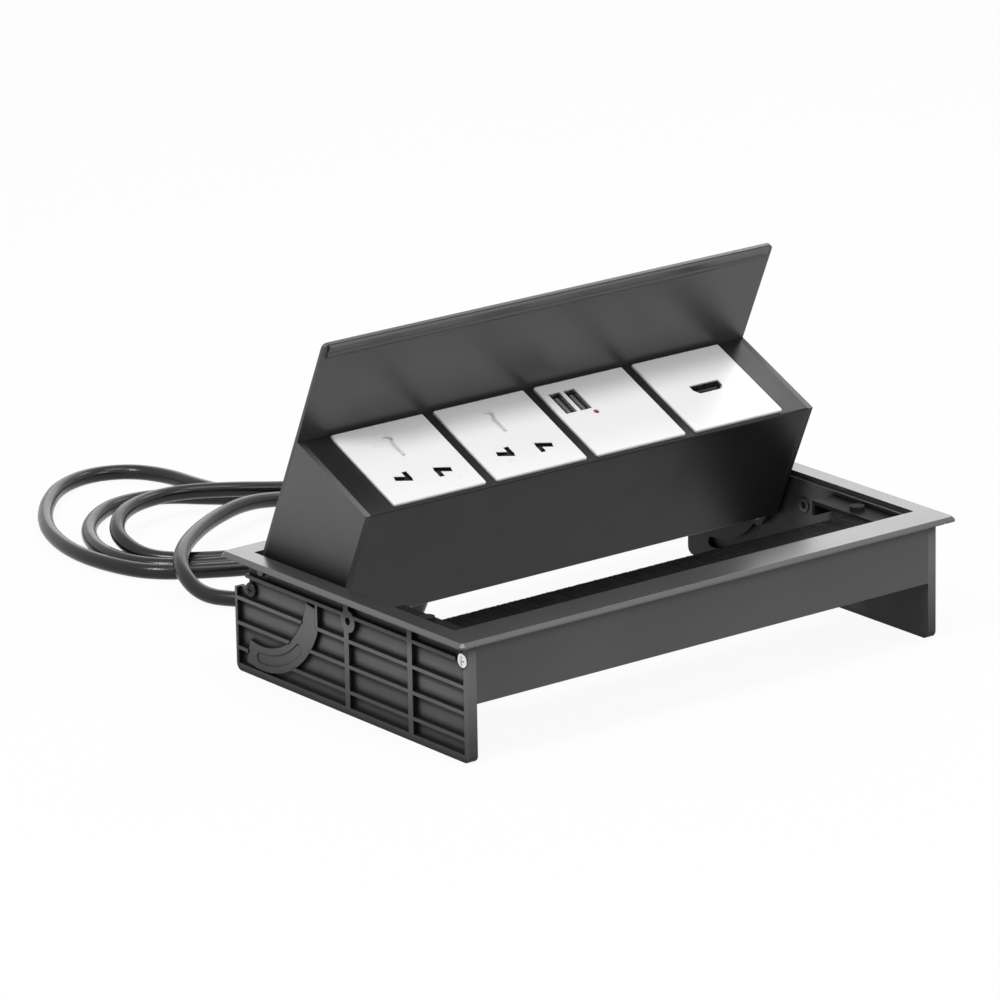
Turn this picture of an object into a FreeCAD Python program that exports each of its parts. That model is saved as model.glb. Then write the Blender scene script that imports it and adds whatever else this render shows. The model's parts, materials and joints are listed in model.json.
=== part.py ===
import FreeCAD, Part
import math
import os
from FreeCAD import Rotation, Vector

# Desktop socket hub: a frame that drops into a desk cut-out, and a hub that flips out of it on two pivot
# pins. Millimetres, +Z up. The origin is the bottom centre of the frame. The hub is drawn shut, with its
# lid level in the frame, and is then turned back to where it stands open.

# Frame
frame_length = 248.0
frame_depth = 156.0
frame_height = 50.5
bezel_thickness = 2.0
bezel_side_width = 9.0
bezel_front_width = 16.2
bezel_rear_width = 10.8
bezel_corner_radius = 2.5
bezel_bevel = 1.3
plate_overhang = 6.9
plate_web = 2.0
plate_rib_height = 2.0
plate_rib_width = 1.5
plate_corner_radius = 3.0
plate_notch_depth = 14.0
plate_rear_lug = 5.3
plate_rib_levels = (40.5, 30.2, 19.8, 9.4)
plate_upright_places = (4.5, -36.0)
plate_tie_y = 24.0
plate_boss_place = (3.4, 38.3)
plate_boss_radius = 4.5
plate_boss_bore = 1.6
screw_pad_radius = 4.5
insert_radius = 2.9
insert_stand = 0.5
gasket_groove_width = 0.8
gasket_groove_depth = 0.4
rail_overhang = 5.3
rail_thickness = 2.0
rail_height = 25.0
rail_port_radius = 3.0
front_port_drop = 10.0
rear_port_drop = 15.5
port_offset = 4.3
screw_radius = 1.5
screw_head_radius = 3.2
screw_head_height = 1.6
screw_length = 12.0
recess_depth = 0.8
recess_half_length = 2.0
recess_half_width = 0.4

# Brush carrier under the front of the bezel
carrier_thickness = 1.5
carrier_drop = 4.2
carrier_depth = 10.0
carrier_arm_width = 10.3
carrier_arm_gap = 0.7
brush_depth = 26.0
brush_thickness = 1.4
brush_end_gap = 0.3
brush_back_depth = 5.0
brush_tooth = 4.0
brush_cut = 0.3
pad_radius = 3.0
pad_inset = 4.0
pad_gap = 0.3

# Hub, in its shut position
open_angle = 65.5
pivot_inset = 5.7
pivot_drop = 6.3
lid_side_gap = 2.8
lid_front_gap = 15.4
lid_rear_gap = 3.2
lid_thickness = 2.0
lid_corner_radius = 2.5
lip_width = 6.8
lip_height = 1.2
lip_valley = 0.3
lip_crest = 0.9
hub_depth = 55.4
hub_setback = 5.1
face_height = 48.1
shell_wall = 1.8
cap_thickness = 2.5
ear_radius = 4.2
pin_radius = 2.0
pin_reach = 0.3
bush_wall = 1.6
bush_flange_radius = 4.0
bush_flange = 0.5
running_gap = 0.08
guide_radius = 35.8
guide_pin_radius = 1.9
guide_angle = 271.5
guide_gap = 0.35
guide_lug_radius = 4.2
band_half_width = 5.0
band_height = 1.6
band_low_angle = 12.5
band_high_angle = 16.0
slot_floor = 1.4
slot_mark_depth = 0.3
slot_mark_angle = 45.5
tab_length = 9.0
tab_depth = 5.0
tab_height = 8.0
tab_inset = 9.0
cap_screw_head_radius = 2.8
ear_slope = 14.0

# Modules on the sloping face
module_count = 4
module_pitch = 50.0
module_size = 45.0
module_flange = 1.2
module_margin = 1.5
module_body = 40.0
module_corner = 1.0
body_gap = 0.15
base_depth = 20.0
base_wall = 1.6
base_recess = 2.5
base_floor = 1.0
tail_stand = 1.0
shutter_thickness = 1.5
shutter_travel = 3.6
shutter_gap = 0.3
shutter_width = 30.0
spring_radius = 1.7
spring_notch = 6.0
contact_metal = 0.6
contact_depth = 11.0
contact_size = 7.0
contact_setback = 5.5
pocket_gap = 1.0
tail_radius = 0.9
tail_hole_radius = 1.2
pin_spread = 9.5
pin_level = 32.5
earth_level = 12.5
pin_hole_length = 7.6
pin_hole_height = 2.6
pin_hole_slope = 16.0
pin_hole_foot = 2.4
earth_hole_offset = -1.0
earth_hole_rise = 3.3
earth_hole_fall = 6.7
earth_hole_top_radius = 2.2
earth_hole_low_radius = 1.5
earth_hole_half_width = 1.2
board_thickness = 1.6
usb_width = 13.1
usb_height = 5.7
usb_depth = 14.0
usb_pitch = 7.4
usb_column = 6.15
usb_level = 12.3
led_radius = 1.2
led_column = 16.6
led_level = 21.3
hdmi_width = 15.0
hdmi_height = 5.5
hdmi_depth = 11.5
sheet_metal = 0.35
port_setback = 0.3
port_fit = 0.05
usb_tongue = (1.8, 10.4, 2.0)
hdmi_tongue_size = (11.0, 1.0, 1.6)
board_margin = 1.0
post_radius = 1.5
post_inset = 3.2
coil_radius = 5.0
coil_height = 9.0
coil_place = 8.0
chip_size = 6.0
chip_height = 1.6
chip_place = (-6.0, -9.0)
display_socket = (16.0, 11.0, 7.0)

# Wiring inside the hub
terminal_x = -44.0
terminal_length = 26.0
terminal_depth = 12.0
terminal_height = 14.0
terminal_wire_hole = 2.2
terminal_wire_depth = 5.0
terminal_screw_hole = 1.8
terminal_screw_depth = 3.0
wire_radius = 1.2
wire_ends = (-78.0, -34.0, -24.0)
bar_thickness = 0.8
bar_width = 5.0
bar_step = 2.4
bar_clearance = 2.2

# Supply lead
cord_radius = 3.25
lead_x = -56.0
gland_drop = 36.0
gland_radius = 5.0
gland_collar = 7.0
gland_reach = 6.0
gland_neck = 1.0
gland_tail = 5.0
nut_radius = 8.0
nut_thickness = 4.0
clamp_width = 18.0
clamp_depth = 9.0
clamp_stand = 3.0
clamp_foot_gap = 1.0
clamp_round = 2.5
clamp_tab_height = 9.0
clamp_screw_level = 5.5
clamp_head_height = 1.4
cord_axis_height = 7.0
boot_length = 26.0
boot_base_radius = 5.6
boot_tip_radius = 4.0
relief_length = 24.0
plug_length = 36.0
plug_width = 36.0
plug_height = 24.0
plug_back_inset = 7.0
plug_taper = 0.45
plug_corner = 4.0
plug_bevel = 1.5
plug_pin_length = 17.0
plug_pin_width = 6.4
plug_pin_thickness = 1.5
plug_pin_slope = 60.0
plug_pin_place = (7.9, 4.0)
plug_earth_place = 5.2

# Places worked out from the sizes above
rim_top = frame_height
bezel_base = rim_top - bezel_thickness
plate_out = frame_length / 2 - plate_overhang
plate_in = plate_out - plate_web - plate_rib_height
rail_out = frame_depth / 2 - rail_overhang
rail_in = rail_out - rail_thickness
inner_front = -frame_depth / 2 + bezel_front_width
inner_rear = frame_depth / 2 - bezel_rear_width
lid_length = frame_length - 2 * (bezel_side_width + lid_side_gap)
lid_front_y = inner_front + lid_front_gap
lid_rear_y = inner_rear - lid_rear_gap
pivot_y = inner_rear - pivot_inset
pivot_z = rim_top - pivot_drop
lid_base = rim_top - lid_thickness
hub_length = lid_length
hub_base = lid_base - face_height
hub_rear = pivot_y - hub_setback
face_y = hub_rear - hub_depth
nose_sweep = math.hypot(pivot_y - face_y, pivot_z - hub_base)
carrier_arm_end = pivot_y - nose_sweep - carrier_arm_gap
slot_end = plate_in + plate_web + band_height - slot_floor
cap_in = hub_length / 2 - cap_thickness
bush_bore = pin_radius + running_gap
bush_out = pin_radius + bush_wall
module_front = face_y - module_flange
module_top = lid_base - module_margin
shell_inside = face_y + shell_wall
base_back = shell_inside + base_depth
clamp_rear = rail_out + clamp_stand
clamp_front = clamp_rear - clamp_depth
boot_end = clamp_rear + boot_length
terminal_front = hub_rear - shell_wall - terminal_depth
lead_level = rim_top - gland_drop


def box(x0, x1, y0, y1, z0, z1):
    return Part.makeBox(x1 - x0, y1 - y0, z1 - z0, Vector(x0, y0, z0))


def rod(radius, start, end):
    way = end - start
    return Part.makeCylinder(radius, way.Length, start, way)


def rod_x(radius, x0, x1, y, z):
    return rod(radius, Vector(x0, y, z), Vector(x1, y, z))


def rod_y(radius, y0, y1, x, z):
    return rod(radius, Vector(x, y0, z), Vector(x, y1, z))


def plate_from_outline(points, start, thickness):
    """A flat prism whose outline stands in the YZ plane, from x = start."""
    ring = [Vector(start, y, z) for y, z in points]
    face = Part.Face(Part.makePolygon(ring + ring[:1]))
    return face.extrude(Vector(thickness, 0, 0))


def edges_along(solid, axis, test):
    """Straight edges that run along an axis and whose middle passes the test."""
    found = []
    for edge in solid.Edges:
        way = edge.Vertexes[-1].Point - edge.Vertexes[0].Point
        if way.Length and abs(abs(way.normalize().dot(axis)) - 1) < 1e-6 and test(edge.CenterOfMass):
            found.append(edge)
    return found


def mirrored(solid):
    return solid.mirror(Vector(0, 0, 0), Vector(1, 0, 0))


def opened(solid):
    """Turn a piece of the hub from its shut place to where it stands open."""
    turned = solid.copy()
    turned.rotate(Vector(0, pivot_y, pivot_z), Vector(1, 0, 0), -open_angle)
    return turned


def opened_point(x, y, z):
    turn = Rotation(Vector(1, 0, 0), -open_angle)
    pivot = Vector(0, pivot_y, pivot_z)
    return pivot + turn.multVec(Vector(x, y, z) - pivot)


def tube_along(points, radius, least):
    """A round tube on straight runs with a tangent arc at each point between them, and its length."""
    count = len(points)
    runs = [(points[i + 1] - points[i]).Length for i in range(count - 1)]
    edges = []
    start = points[0]
    bends = []
    for i in range(1, count - 1):
        back = (points[i - 1] - points[i]).normalize()
        ahead = (points[i + 1] - points[i]).normalize()
        half_turn = (math.pi - back.getAngle(ahead)) / 2
        cut = 0.45 * min(runs[i - 1], runs[i])
        bend = cut / math.tan(half_turn)
        bends.append(bend)
        middle_way = (back + ahead).normalize()
        reach = bend / math.cos(half_turn) - bend
        first = points[i] + back * cut
        last = points[i] + ahead * cut
        edges.append(Part.LineSegment(start, first).toShape())
        edges.append(Part.Arc(first, points[i] + middle_way * reach, last).toShape())
        start = last
    edges.append(Part.LineSegment(start, points[-1]).toShape())
    path = Part.Wire(edges)
    section = Part.Wire(Part.makeCircle(radius, points[0], points[1] - points[0]))
    tube = path.makePipeShell([section], True, False)
    expected = math.pi * radius ** 2 * path.Length
    print("tube: length %.0f, bend radii %s, least allowed %.1f, volume against section x length %.4f"
          % (path.Length, " ".join("%.0f" % bend for bend in bends), least, tube.Volume / expected))
    return tube, path


# Frame pieces

def port_place(side):
    """Where a rail's screw port runs (y, z): side is -1 at the front and 1 at the rear."""
    drop = front_port_drop if side < 0 else rear_port_drop
    return side * (rail_out - port_offset), rim_top - drop


def bezel():
    ring = box(-frame_length / 2, frame_length / 2, -frame_depth / 2, frame_depth / 2, bezel_base, rim_top)
    corners = edges_along(ring, Vector(0, 0, 1), lambda p: True)
    ring = ring.makeFillet(bezel_corner_radius, corners)
    top_edges = [e for e in ring.Edges if abs(e.CenterOfMass.z - rim_top) < 1e-6]
    ring = ring.makeChamfer(bezel_bevel, top_edges)
    half = frame_length / 2 - bezel_side_width
    opening = box(-half, half, inner_front, inner_rear, bezel_base - 1, rim_top + 1)
    groove = box(plate_out, plate_out + gasket_groove_width, -frame_depth, frame_depth,
                 bezel_base, bezel_base + gasket_groove_depth)
    return ring.cut(opening.fuse([groove, mirrored(groove)]))


def rail(side):
    """A rail with a screw port inside it."""
    near, far = sorted((side * rail_in, side * rail_out))
    web = box(-plate_in, plate_in, near, far, bezel_base - rail_height, bezel_base)
    port_y, port_z = port_place(side)
    port = rod_x(rail_port_radius, -plate_in, plate_in, port_y, port_z)
    neck_near, neck_far = sorted((port_y, side * rail_in))
    neck = box(-plate_in, plate_in, neck_near, neck_far, port_z - plate_rib_width, port_z + plate_rib_width)
    bore = rod_x(screw_radius, -plate_in, plate_in, port_y, port_z)
    lip_near, lip_far = sorted((side * (rail_in - plate_rib_width), side * rail_in))
    foot_lip = box(-plate_in, plate_in, lip_near, lip_far, bezel_base - rail_height,
                   bezel_base - rail_height + plate_rib_width)
    return web.fuse([port, neck, foot_lip]).cut(bore).removeSplitter()


def about_pivot(radius, angle):
    """The place (y, z) at a radius and an angle about the pivot."""
    turn = math.radians(angle)
    return pivot_y + radius * math.cos(turn), pivot_z + radius * math.sin(turn)


def arc_band(start, thickness, inner, outer, low_angle, high_angle):
    """A flat band about the pivot between two radii and two angles less than 180 degrees apart."""
    end = start + thickness
    ring = rod_x(outer, start, end, pivot_y, pivot_z).cut(rod_x(inner, start, end, pivot_y, pivot_z))
    reach = 3 * outer
    low = about_pivot(reach, low_angle)
    middle = about_pivot(2 * reach, (low_angle + high_angle) / 2)
    high = about_pivot(reach, high_angle)
    return ring.common(plate_from_outline([(pivot_y, pivot_z), low, middle, high], start, thickness))


def arc_slot(start, depth, half_width, low_angle, high_angle):
    """A band with round ends on the guide pin's path."""
    slot = arc_band(start, depth, guide_radius - half_width, guide_radius + half_width, low_angle, high_angle)
    for angle in (low_angle, high_angle):
        y, z = about_pivot(guide_radius, angle)
        slot = slot.fuse(rod_x(half_width, start, start + depth, y, z))
    return slot


def guide_band(thickness):
    """The raised band on an end plate's outer side, behind the slot that the guide pin runs in."""
    band = arc_band(plate_in + plate_web, thickness,
                    guide_radius - band_half_width, guide_radius + band_half_width,
                    guide_angle + band_low_angle, guide_angle - open_angle - band_high_angle)
    return band.common(box(plate_in, plate_out, plate_tie_y, frame_depth, 0, plate_rib_levels[0]))


def end_plate():
    """The ribbed end plate on the +X side."""
    web_out = plate_in + plate_web
    rear_low = rail_out + plate_rear_lug
    notch_z = bezel_base - plate_notch_depth
    rear_high = rail_out - rail_thickness
    outline = [(-rail_out, bezel_base), (-rail_out, 0), (rear_low, 0), (rear_low, notch_z),
               (rear_high, notch_z), (rear_high, bezel_base)]
    blank = plate_from_outline(outline, plate_in, plate_web + plate_rib_height)
    feet = edges_along(blank, Vector(1, 0, 0), lambda p: p.z < 1e-6)
    blank = blank.makeFillet(plate_corner_radius, feet)
    web = blank.common(box(plate_in, web_out, -frame_depth, frame_depth, 0, rim_top))

    rib = plate_rib_width
    raised = [box(web_out, plate_out, -rail_out, -rail_out + 2 * rib, 0, bezel_base),
              box(web_out, plate_out, rear_low - rib, rear_low, 0, notch_z),
              box(web_out, plate_out, -frame_depth, frame_depth, 0, 2 * rib)]
    band_space = guide_band(plate_rib_height)
    for level in plate_rib_levels:
        level_rib = box(web_out, plate_out, -frame_depth, frame_depth, level - rib / 2, level + rib / 2)
        raised.append(level_rib if level == plate_rib_levels[0] else level_rib.cut(band_space))
    for across in plate_upright_places:
        raised.append(box(web_out, plate_out, across - rib, across + rib, 0, bezel_base))
    raised.append(box(web_out, plate_out, plate_tie_y - rib / 2, plate_tie_y + rib / 2,
                      plate_rib_levels[1], plate_rib_levels[0]))
    boss_y, boss_z = plate_boss_place
    raised.append(rod_x(plate_boss_radius, web_out, plate_out, boss_y, boss_z))
    raised.append(guide_band(band_height))
    head_seat = plate_out - screw_head_height
    raised.append(rod_x(screw_pad_radius, web_out, head_seat, *port_place(-1)))
    ribs = blank.common(raised[0].fuse(raised[1:]))
    plate = web.fuse(ribs)

    pad_face = web_out + band_height
    holes = [arc_slot(plate_in, slot_end - plate_in, guide_pin_radius + guide_gap,
                      guide_angle, guide_angle - open_angle),
             arc_slot(pad_face - slot_mark_depth, slot_mark_depth, guide_pin_radius + guide_gap,
                      guide_angle, guide_angle - slot_mark_angle),
             rod_x(bush_out, plate_in, web_out, pivot_y, pivot_z),
             rod_x(bush_bore + pin_reach, web_out, plate_out, pivot_y, pivot_z),
             rod_x(plate_boss_bore, plate_in, plate_out, boss_y, boss_z)]
    for side in (-1, 1):
        port_y, port_z = port_place(side)
        holes.append(rod_x(screw_radius, plate_in, plate_out, port_y, port_z))
        holes.append(rod_x(screw_head_radius + guide_gap, head_seat, plate_out, port_y, port_z))
    return plate.cut(holes[0].fuse(holes[1:])).removeSplitter()


def side_inserts():
    """Steel rings let onto the end plates' inner sides, round the holes for the side screws."""
    y, z = plate_boss_place
    inner_end = plate_in - insert_stand
    ring = rod_x(insert_radius, inner_end, plate_in, y, z)
    ring = ring.cut(rod_x(plate_boss_bore, inner_end, plate_in, y, z))
    return Part.makeCompound([ring, mirrored(ring)])


def rail_screws():
    """Four cross-recessed screws that pull the end plates onto the rails."""
    screws = []
    recess = plate_out - recess_depth
    for side in (-1, 1):
        port_y, port_z = port_place(side)
        seat = plate_out - screw_head_height
        shank = rod_x(screw_radius, seat - screw_length, seat, port_y, port_z)
        head = rod_x(screw_head_radius, seat, plate_out, port_y, port_z)
        for wide, tall in ((recess_half_length, recess_half_width), (recess_half_width, recess_half_length)):
            head = head.cut(box(recess, plate_out, port_y - wide, port_y + wide,
                                port_z - tall, port_z + tall))
        screw = shank.fuse(head).removeSplitter()
        screws += [screw, mirrored(screw)]
    return Part.makeCompound(screws)


def brush_carrier():
    """A U-shaped tray under the bezel: it holds the brush, and its arms carry the lid's corners."""
    top = rim_top - carrier_drop
    base = top - carrier_thickness
    bar = box(-plate_in, plate_in, -rail_in, -rail_in + carrier_depth, base, top)
    arm = box(plate_in - carrier_arm_width, plate_in, -rail_in, carrier_arm_end, base, top)
    tongue = box(plate_in - carrier_arm_width, plate_in, carrier_arm_end - carrier_thickness, carrier_arm_end,
                 base - 3 * carrier_thickness, base)
    arm = arm.fuse(tongue)
    tray = bar.fuse([arm, mirrored(arm)])
    port = rod_x(rail_port_radius, -plate_in, plate_in, *port_place(-1))
    return tray.cut(port).removeSplitter()


def cable_brush():
    """A brush strip: a backing strip clipped on the tray, with rows of bristles cut as a comb."""
    top = rim_top - carrier_drop
    half = plate_in - carrier_arm_width - brush_end_gap
    root = -rail_in + carrier_depth
    clip = root + brush_back_depth
    back = box(-half, half, root, clip, top - carrier_thickness, top)
    tips = inner_front + brush_depth
    bristles = box(-half, half, clip, tips, top - brush_thickness, top - brush_thickness / 2)
    count = int(2 * half / brush_tooth)
    cuts = []
    for i in range(1, count):
        x = -half + 2 * half * i / count
        cuts.append(box(x - brush_cut / 2, x + brush_cut / 2, clip + brush_tooth / 2, tips,
                        top - brush_thickness, top))
    return back.fuse(bristles.cut(Part.makeCompound(cuts))).removeSplitter()


def lid_pads():
    """Two soft pads on the arms, where the lid's front corners come to rest."""
    top = rim_top - carrier_drop
    x = plate_in - carrier_arm_width / 2
    y = lid_front_y + lip_width + pad_inset
    pad = rod(pad_radius, Vector(x, y, top), Vector(x, y, lid_base - pad_gap))
    return Part.makeCompound([pad, mirrored(pad)])


def pivot_bushes():
    web_out = plate_in + plate_web
    sleeve = rod_x(bush_out, plate_in, web_out, pivot_y, pivot_z)
    flange = rod_x(bush_flange_radius, plate_in - bush_flange, plate_in, pivot_y, pivot_z)
    bore = rod_x(bush_bore, plate_in - bush_flange, web_out, pivot_y, pivot_z)
    bush = sleeve.fuse(flange).cut(bore).removeSplitter()
    return Part.makeCompound([bush, mirrored(bush)])


def clamp_screw_places():
    z = bezel_base - rail_height + clamp_screw_level
    return [(lead_x + side * clamp_width / 3, z) for side in (-1, 1)]


def cable_clamp():
    """A block under the rear rail with a tab screwed to it: the lead passes through."""
    rail_foot = bezel_base - rail_height
    x0 = lead_x - clamp_width / 2
    x1 = lead_x + clamp_width / 2
    block = box(x0, x1, clamp_front, clamp_rear, clamp_foot_gap, rail_foot)
    rounds = edges_along(block, Vector(0, 1, 0), lambda p: p.z < rail_foot / 2)
    block = block.makeFillet(clamp_round, rounds)
    tab = box(x0, x1, rail_out, clamp_rear, rail_foot, rail_foot + clamp_tab_height)
    bore = rod_y(cord_radius + running_gap, clamp_front, clamp_rear, lead_x, cord_axis_height)
    clamp = block.fuse(tab).cut(bore)
    for x, z in clamp_screw_places():
        clamp = clamp.cut(rod_y(screw_radius, rail_out, clamp_rear, x, z))
    return clamp.removeSplitter()


def clamp_screws():
    screws = []
    for x, z in clamp_screw_places():
        shank = rod_y(screw_radius, rail_out, clamp_rear, x, z)
        head = Part.makeCone(2.6, 1.8, clamp_head_height, Vector(x, clamp_rear, z), Vector(0, 1, 0))
        screws.append(shank.fuse(head).removeSplitter())
    return Part.makeCompound(screws)


# Hub pieces, drawn shut

def lid():
    half = lid_length / 2
    panel = box(-half, half, lid_front_y, lid_rear_y, lid_base, rim_top)
    corners = edges_along(panel, Vector(0, 0, 1), lambda p: p.y < 0)
    panel = panel.makeFillet(lid_corner_radius, corners)
    rims = edges_along(panel, Vector(1, 0, 0), lambda p: p.z > rim_top - 0.1)
    panel = panel.makeChamfer(0.5, rims)
    inset = lid_corner_radius
    profile = [(lid_front_y + 0.4, lid_base), (lid_front_y + 0.8, lid_base - lip_height),
               (lid_front_y + lip_width - 2.4, lid_base - lip_valley),
               (lid_front_y + lip_width - 1.4, lid_base - lip_crest), (lid_front_y + lip_width, lid_base)]
    lip = plate_from_outline(profile, -half + inset, lid_length - 2 * inset)
    return panel.fuse(lip).removeSplitter()


def module_centres():
    first = -module_pitch * (module_count - 1) / 2
    return [first + module_pitch * i for i in range(module_count)]


def module_middle():
    return module_top - module_size / 2


def hub_shell():
    """A channel of sloping face, front wall and back wall, closed by the lid and the two end caps."""
    outer = box(-cap_in, cap_in, face_y, hub_rear, hub_base, lid_base)
    inner = box(-cap_in, cap_in, face_y + shell_wall, hub_rear - shell_wall, hub_base + shell_wall, lid_base)
    nose = edges_along(outer, Vector(1, 0, 0), lambda p: p.z < hub_base + 0.1)
    shell = outer.makeFillet(0.8, nose).cut(inner)
    half = module_body / 2 + body_gap
    middle = module_middle()
    for x in module_centres():
        shell = shell.cut(box(x - half, x + half, face_y, shell_inside, middle - half, middle + half))
    shell = shell.cut(rod_y(gland_radius, hub_rear - shell_wall, hub_rear, lead_x, lead_level))
    for x, z in cap_screw_places():
        head = cap_screw_head(x, z)
        shell = shell.cut(head).cut(mirrored(head))
    return shell


def cap_screw_places():
    """Where the screws through the hub's rear wall bite into the +X end cap's tabs."""
    x = cap_in - tab_length / 2
    return [(x, hub_base + tab_inset), (x, lid_base - tab_inset)]


def cap_screw_head(x, z):
    foot = Vector(x, hub_rear - shell_wall, z)
    return Part.makeCone(screw_radius, cap_screw_head_radius, shell_wall, foot, Vector(0, 1, 0))


def end_cap():
    """The +X end cap, with tabs behind the rear wall, an ear at the pivot and a lug for the guide pin."""
    ear_low = pivot_z - ear_radius
    outline = [(face_y, lid_base), (face_y, hub_base), (hub_rear, hub_base), (hub_rear, ear_low - ear_slope),
               (pivot_y, ear_low), (pivot_y, pivot_z + ear_radius), (hub_rear, pivot_z + ear_radius),
               (hub_rear, lid_base)]
    cap = plate_from_outline(outline, cap_in, cap_thickness)
    cap_out = cap_in + cap_thickness
    ear = rod_x(ear_radius, cap_in - cap_thickness, cap_out, pivot_y, pivot_z)
    guide_y, guide_z = about_pivot(guide_radius, guide_angle)
    lug = [(hub_rear - 2 * guide_lug_radius, hub_base), (guide_y, guide_z - guide_lug_radius),
           (guide_y, guide_z + guide_lug_radius), (hub_rear - 1.0, guide_z + 2.5 * guide_lug_radius)]
    lug_end = rod_x(guide_lug_radius, cap_in, cap_out, guide_y, guide_z)
    inner_wall = hub_rear - shell_wall
    tongue = box(cap_in - tab_length / 2, cap_in, shell_inside, shell_inside + rail_thickness,
                 hub_base + tab_inset, lid_base - tab_inset)
    pieces = [ear, plate_from_outline(lug, cap_in, cap_thickness), lug_end, tongue]
    for x, z in cap_screw_places():
        pieces.append(box(cap_in - tab_length, cap_in, inner_wall - tab_depth, inner_wall,
                          z - tab_height / 2, z + tab_height / 2))
    holes = [rod_x(pin_radius, cap_in - cap_thickness, cap_out, pivot_y, pivot_z),
             rod_x(guide_pin_radius, cap_in, cap_out, guide_y, guide_z)]
    for x, z in cap_screw_places():
        holes.append(rod_y(screw_radius, inner_wall - tab_depth, inner_wall, x, z))
    return cap.fuse(pieces).cut(holes[0].fuse(holes[1:])).removeSplitter()


def pivot_pins():
    tip = plate_out - pin_reach
    pin = rod_x(pin_radius, cap_in - cap_thickness, tip, pivot_y, pivot_z)
    pin = pin.makeChamfer(0.4, [e for e in pin.Edges if abs(e.CenterOfMass.x - tip) < 1e-6])
    return Part.makeCompound([pin, mirrored(pin)])


def guide_pins():
    y, z = about_pivot(guide_radius, guide_angle)
    pin = rod_x(guide_pin_radius, cap_in, slot_end - guide_gap, y, z)
    return Part.makeCompound([pin, mirrored(pin)])


def cap_screws():
    """Countersunk screws through the hub's rear wall into the end caps' tabs."""
    screws = []
    inner_wall = hub_rear - shell_wall
    for x, z in cap_screw_places():
        screw = rod_y(screw_radius, inner_wall - tab_depth, inner_wall, x, z).fuse(cap_screw_head(x, z))
        for wide, tall in ((recess_half_length, recess_half_width), (recess_half_width, recess_half_length)):
            screw = screw.cut(box(x - wide, x + wide, hub_rear - recess_depth, hub_rear, z - tall, z + tall))
        screw = screw.removeSplitter()
        screws += [screw, mirrored(screw)]
    return Part.makeCompound(screws)


# Modules, drawn shut: the face looks towards -Y and a level is measured down from the module's top edge

def module_blank(x):
    """The white front plate of a module: a thin flange on the face and a rim inside the window."""
    half = module_size / 2
    middle = module_middle()
    flange = box(x - half, x + half, module_front, face_y, middle - half, middle + half)
    flange = flange.makeFillet(module_corner, edges_along(flange, Vector(0, 1, 0), lambda p: True))
    front = [e for e in flange.Edges if abs(e.CenterOfMass.y - module_front) < 1e-6]
    flange = flange.makeChamfer(0.4, front)
    inside = module_body / 2
    rim = box(x - inside, x + inside, face_y, shell_inside, middle - inside, middle + inside)
    hollow = inside - base_wall
    rim = rim.cut(box(x - hollow, x + hollow, face_y, shell_inside, middle - hollow, middle + hollow))
    return flange.fuse(rim).removeSplitter()


def turned_box(x, z, width, height, y0, y1, angle):
    piece = box(x - width / 2, x + width / 2, y0, y1, z - height / 2, z + height / 2)
    piece.rotate(Vector(x, 0, z), Vector(0, 1, 0), angle)
    return piece


def socket_holes(x, y0, y1):
    """Openings of a universal socket: two slanting ones for the line pins and a keyhole for the earth pin."""
    level = module_top - pin_level
    foot = pin_hole_foot
    holes = []
    for side in (-1, 1):
        centre = x + side * pin_spread
        holes.append(turned_box(centre, level, pin_hole_length, pin_hole_height, y0, y1, pin_hole_slope))
        foot_x = centre - side * (pin_hole_length / 2 - foot / 2)
        low, high = sorted((level, level - side * (pin_hole_height / 2 + foot)))
        holes.append(box(foot_x - foot / 2, foot_x + foot / 2, y0, y1, low, high))
    earth_x = x + earth_hole_offset
    top = module_top - earth_level + earth_hole_rise
    low = module_top - earth_level - earth_hole_fall
    holes.append(rod_y(earth_hole_top_radius, y0, y1, earth_x, top))
    holes.append(box(earth_x - earth_hole_half_width, earth_x + earth_hole_half_width, y0, y1, low, top))
    holes.append(rod_y(earth_hole_low_radius, y0, y1, earth_x, low))
    return holes


def socket_plate(x):
    holes = socket_holes(x, module_front - 1, shell_inside)
    return module_blank(x).cut(holes[0].fuse(holes[1:])).removeSplitter()


def shutter_span():
    """Top and bottom levels of the shutter at rest."""
    rim_foot = module_middle() - module_body / 2 + base_wall
    return module_top - earth_level + 7.6, rim_foot + shutter_travel + shutter_gap


def socket_shutter(x):
    """The sprung white shutter behind the openings, with two windows that drop into line."""
    top, low = shutter_span()
    y0 = face_y + shutter_gap
    y1 = y0 + shutter_thickness
    half = shutter_width / 2
    plate = box(x - half, x + half, y0, y1, low, top)
    for side in (-1, 1):
        centre = x + side * pin_spread
        plate = plate.cut(box(centre - 3.8, centre + 3.8, y0, y1, module_top - pin_level + 3.8,
                              module_top - pin_level + 3.8 + shutter_travel))
    notch = spring_radius + shutter_gap
    plate = plate.cut(box(x - notch, x + notch, y0, y1, low, low + spring_notch))
    ramp = [(y0 + 0.001, module_top - earth_level - 6.0), (y1, module_top - earth_level - 6.0),
            (y1, module_top - earth_level - 1.5)]
    return plate.cut(plate_from_outline(ramp, x - 3.0, 6.0))


def spring_place():
    """The shutter spring stands between the rim's foot and the notch in the shutter's lower edge."""
    low = shutter_span()[1]
    return low - shutter_travel - shutter_gap, low + spring_notch


def shutter_spring(x):
    z0, z1 = spring_place()
    y = face_y + shutter_gap + spring_radius
    sleeve = rod(spring_radius, Vector(x, y, z0), Vector(x, y, z1))
    return sleeve.cut(rod(spring_radius - 0.5, Vector(x, y, z0), Vector(x, y, z1)))


def contact_places(x):
    return [(x - pin_spread, module_top - pin_level), (x + pin_spread, module_top - pin_level),
            (x, module_top - earth_level)]


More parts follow.
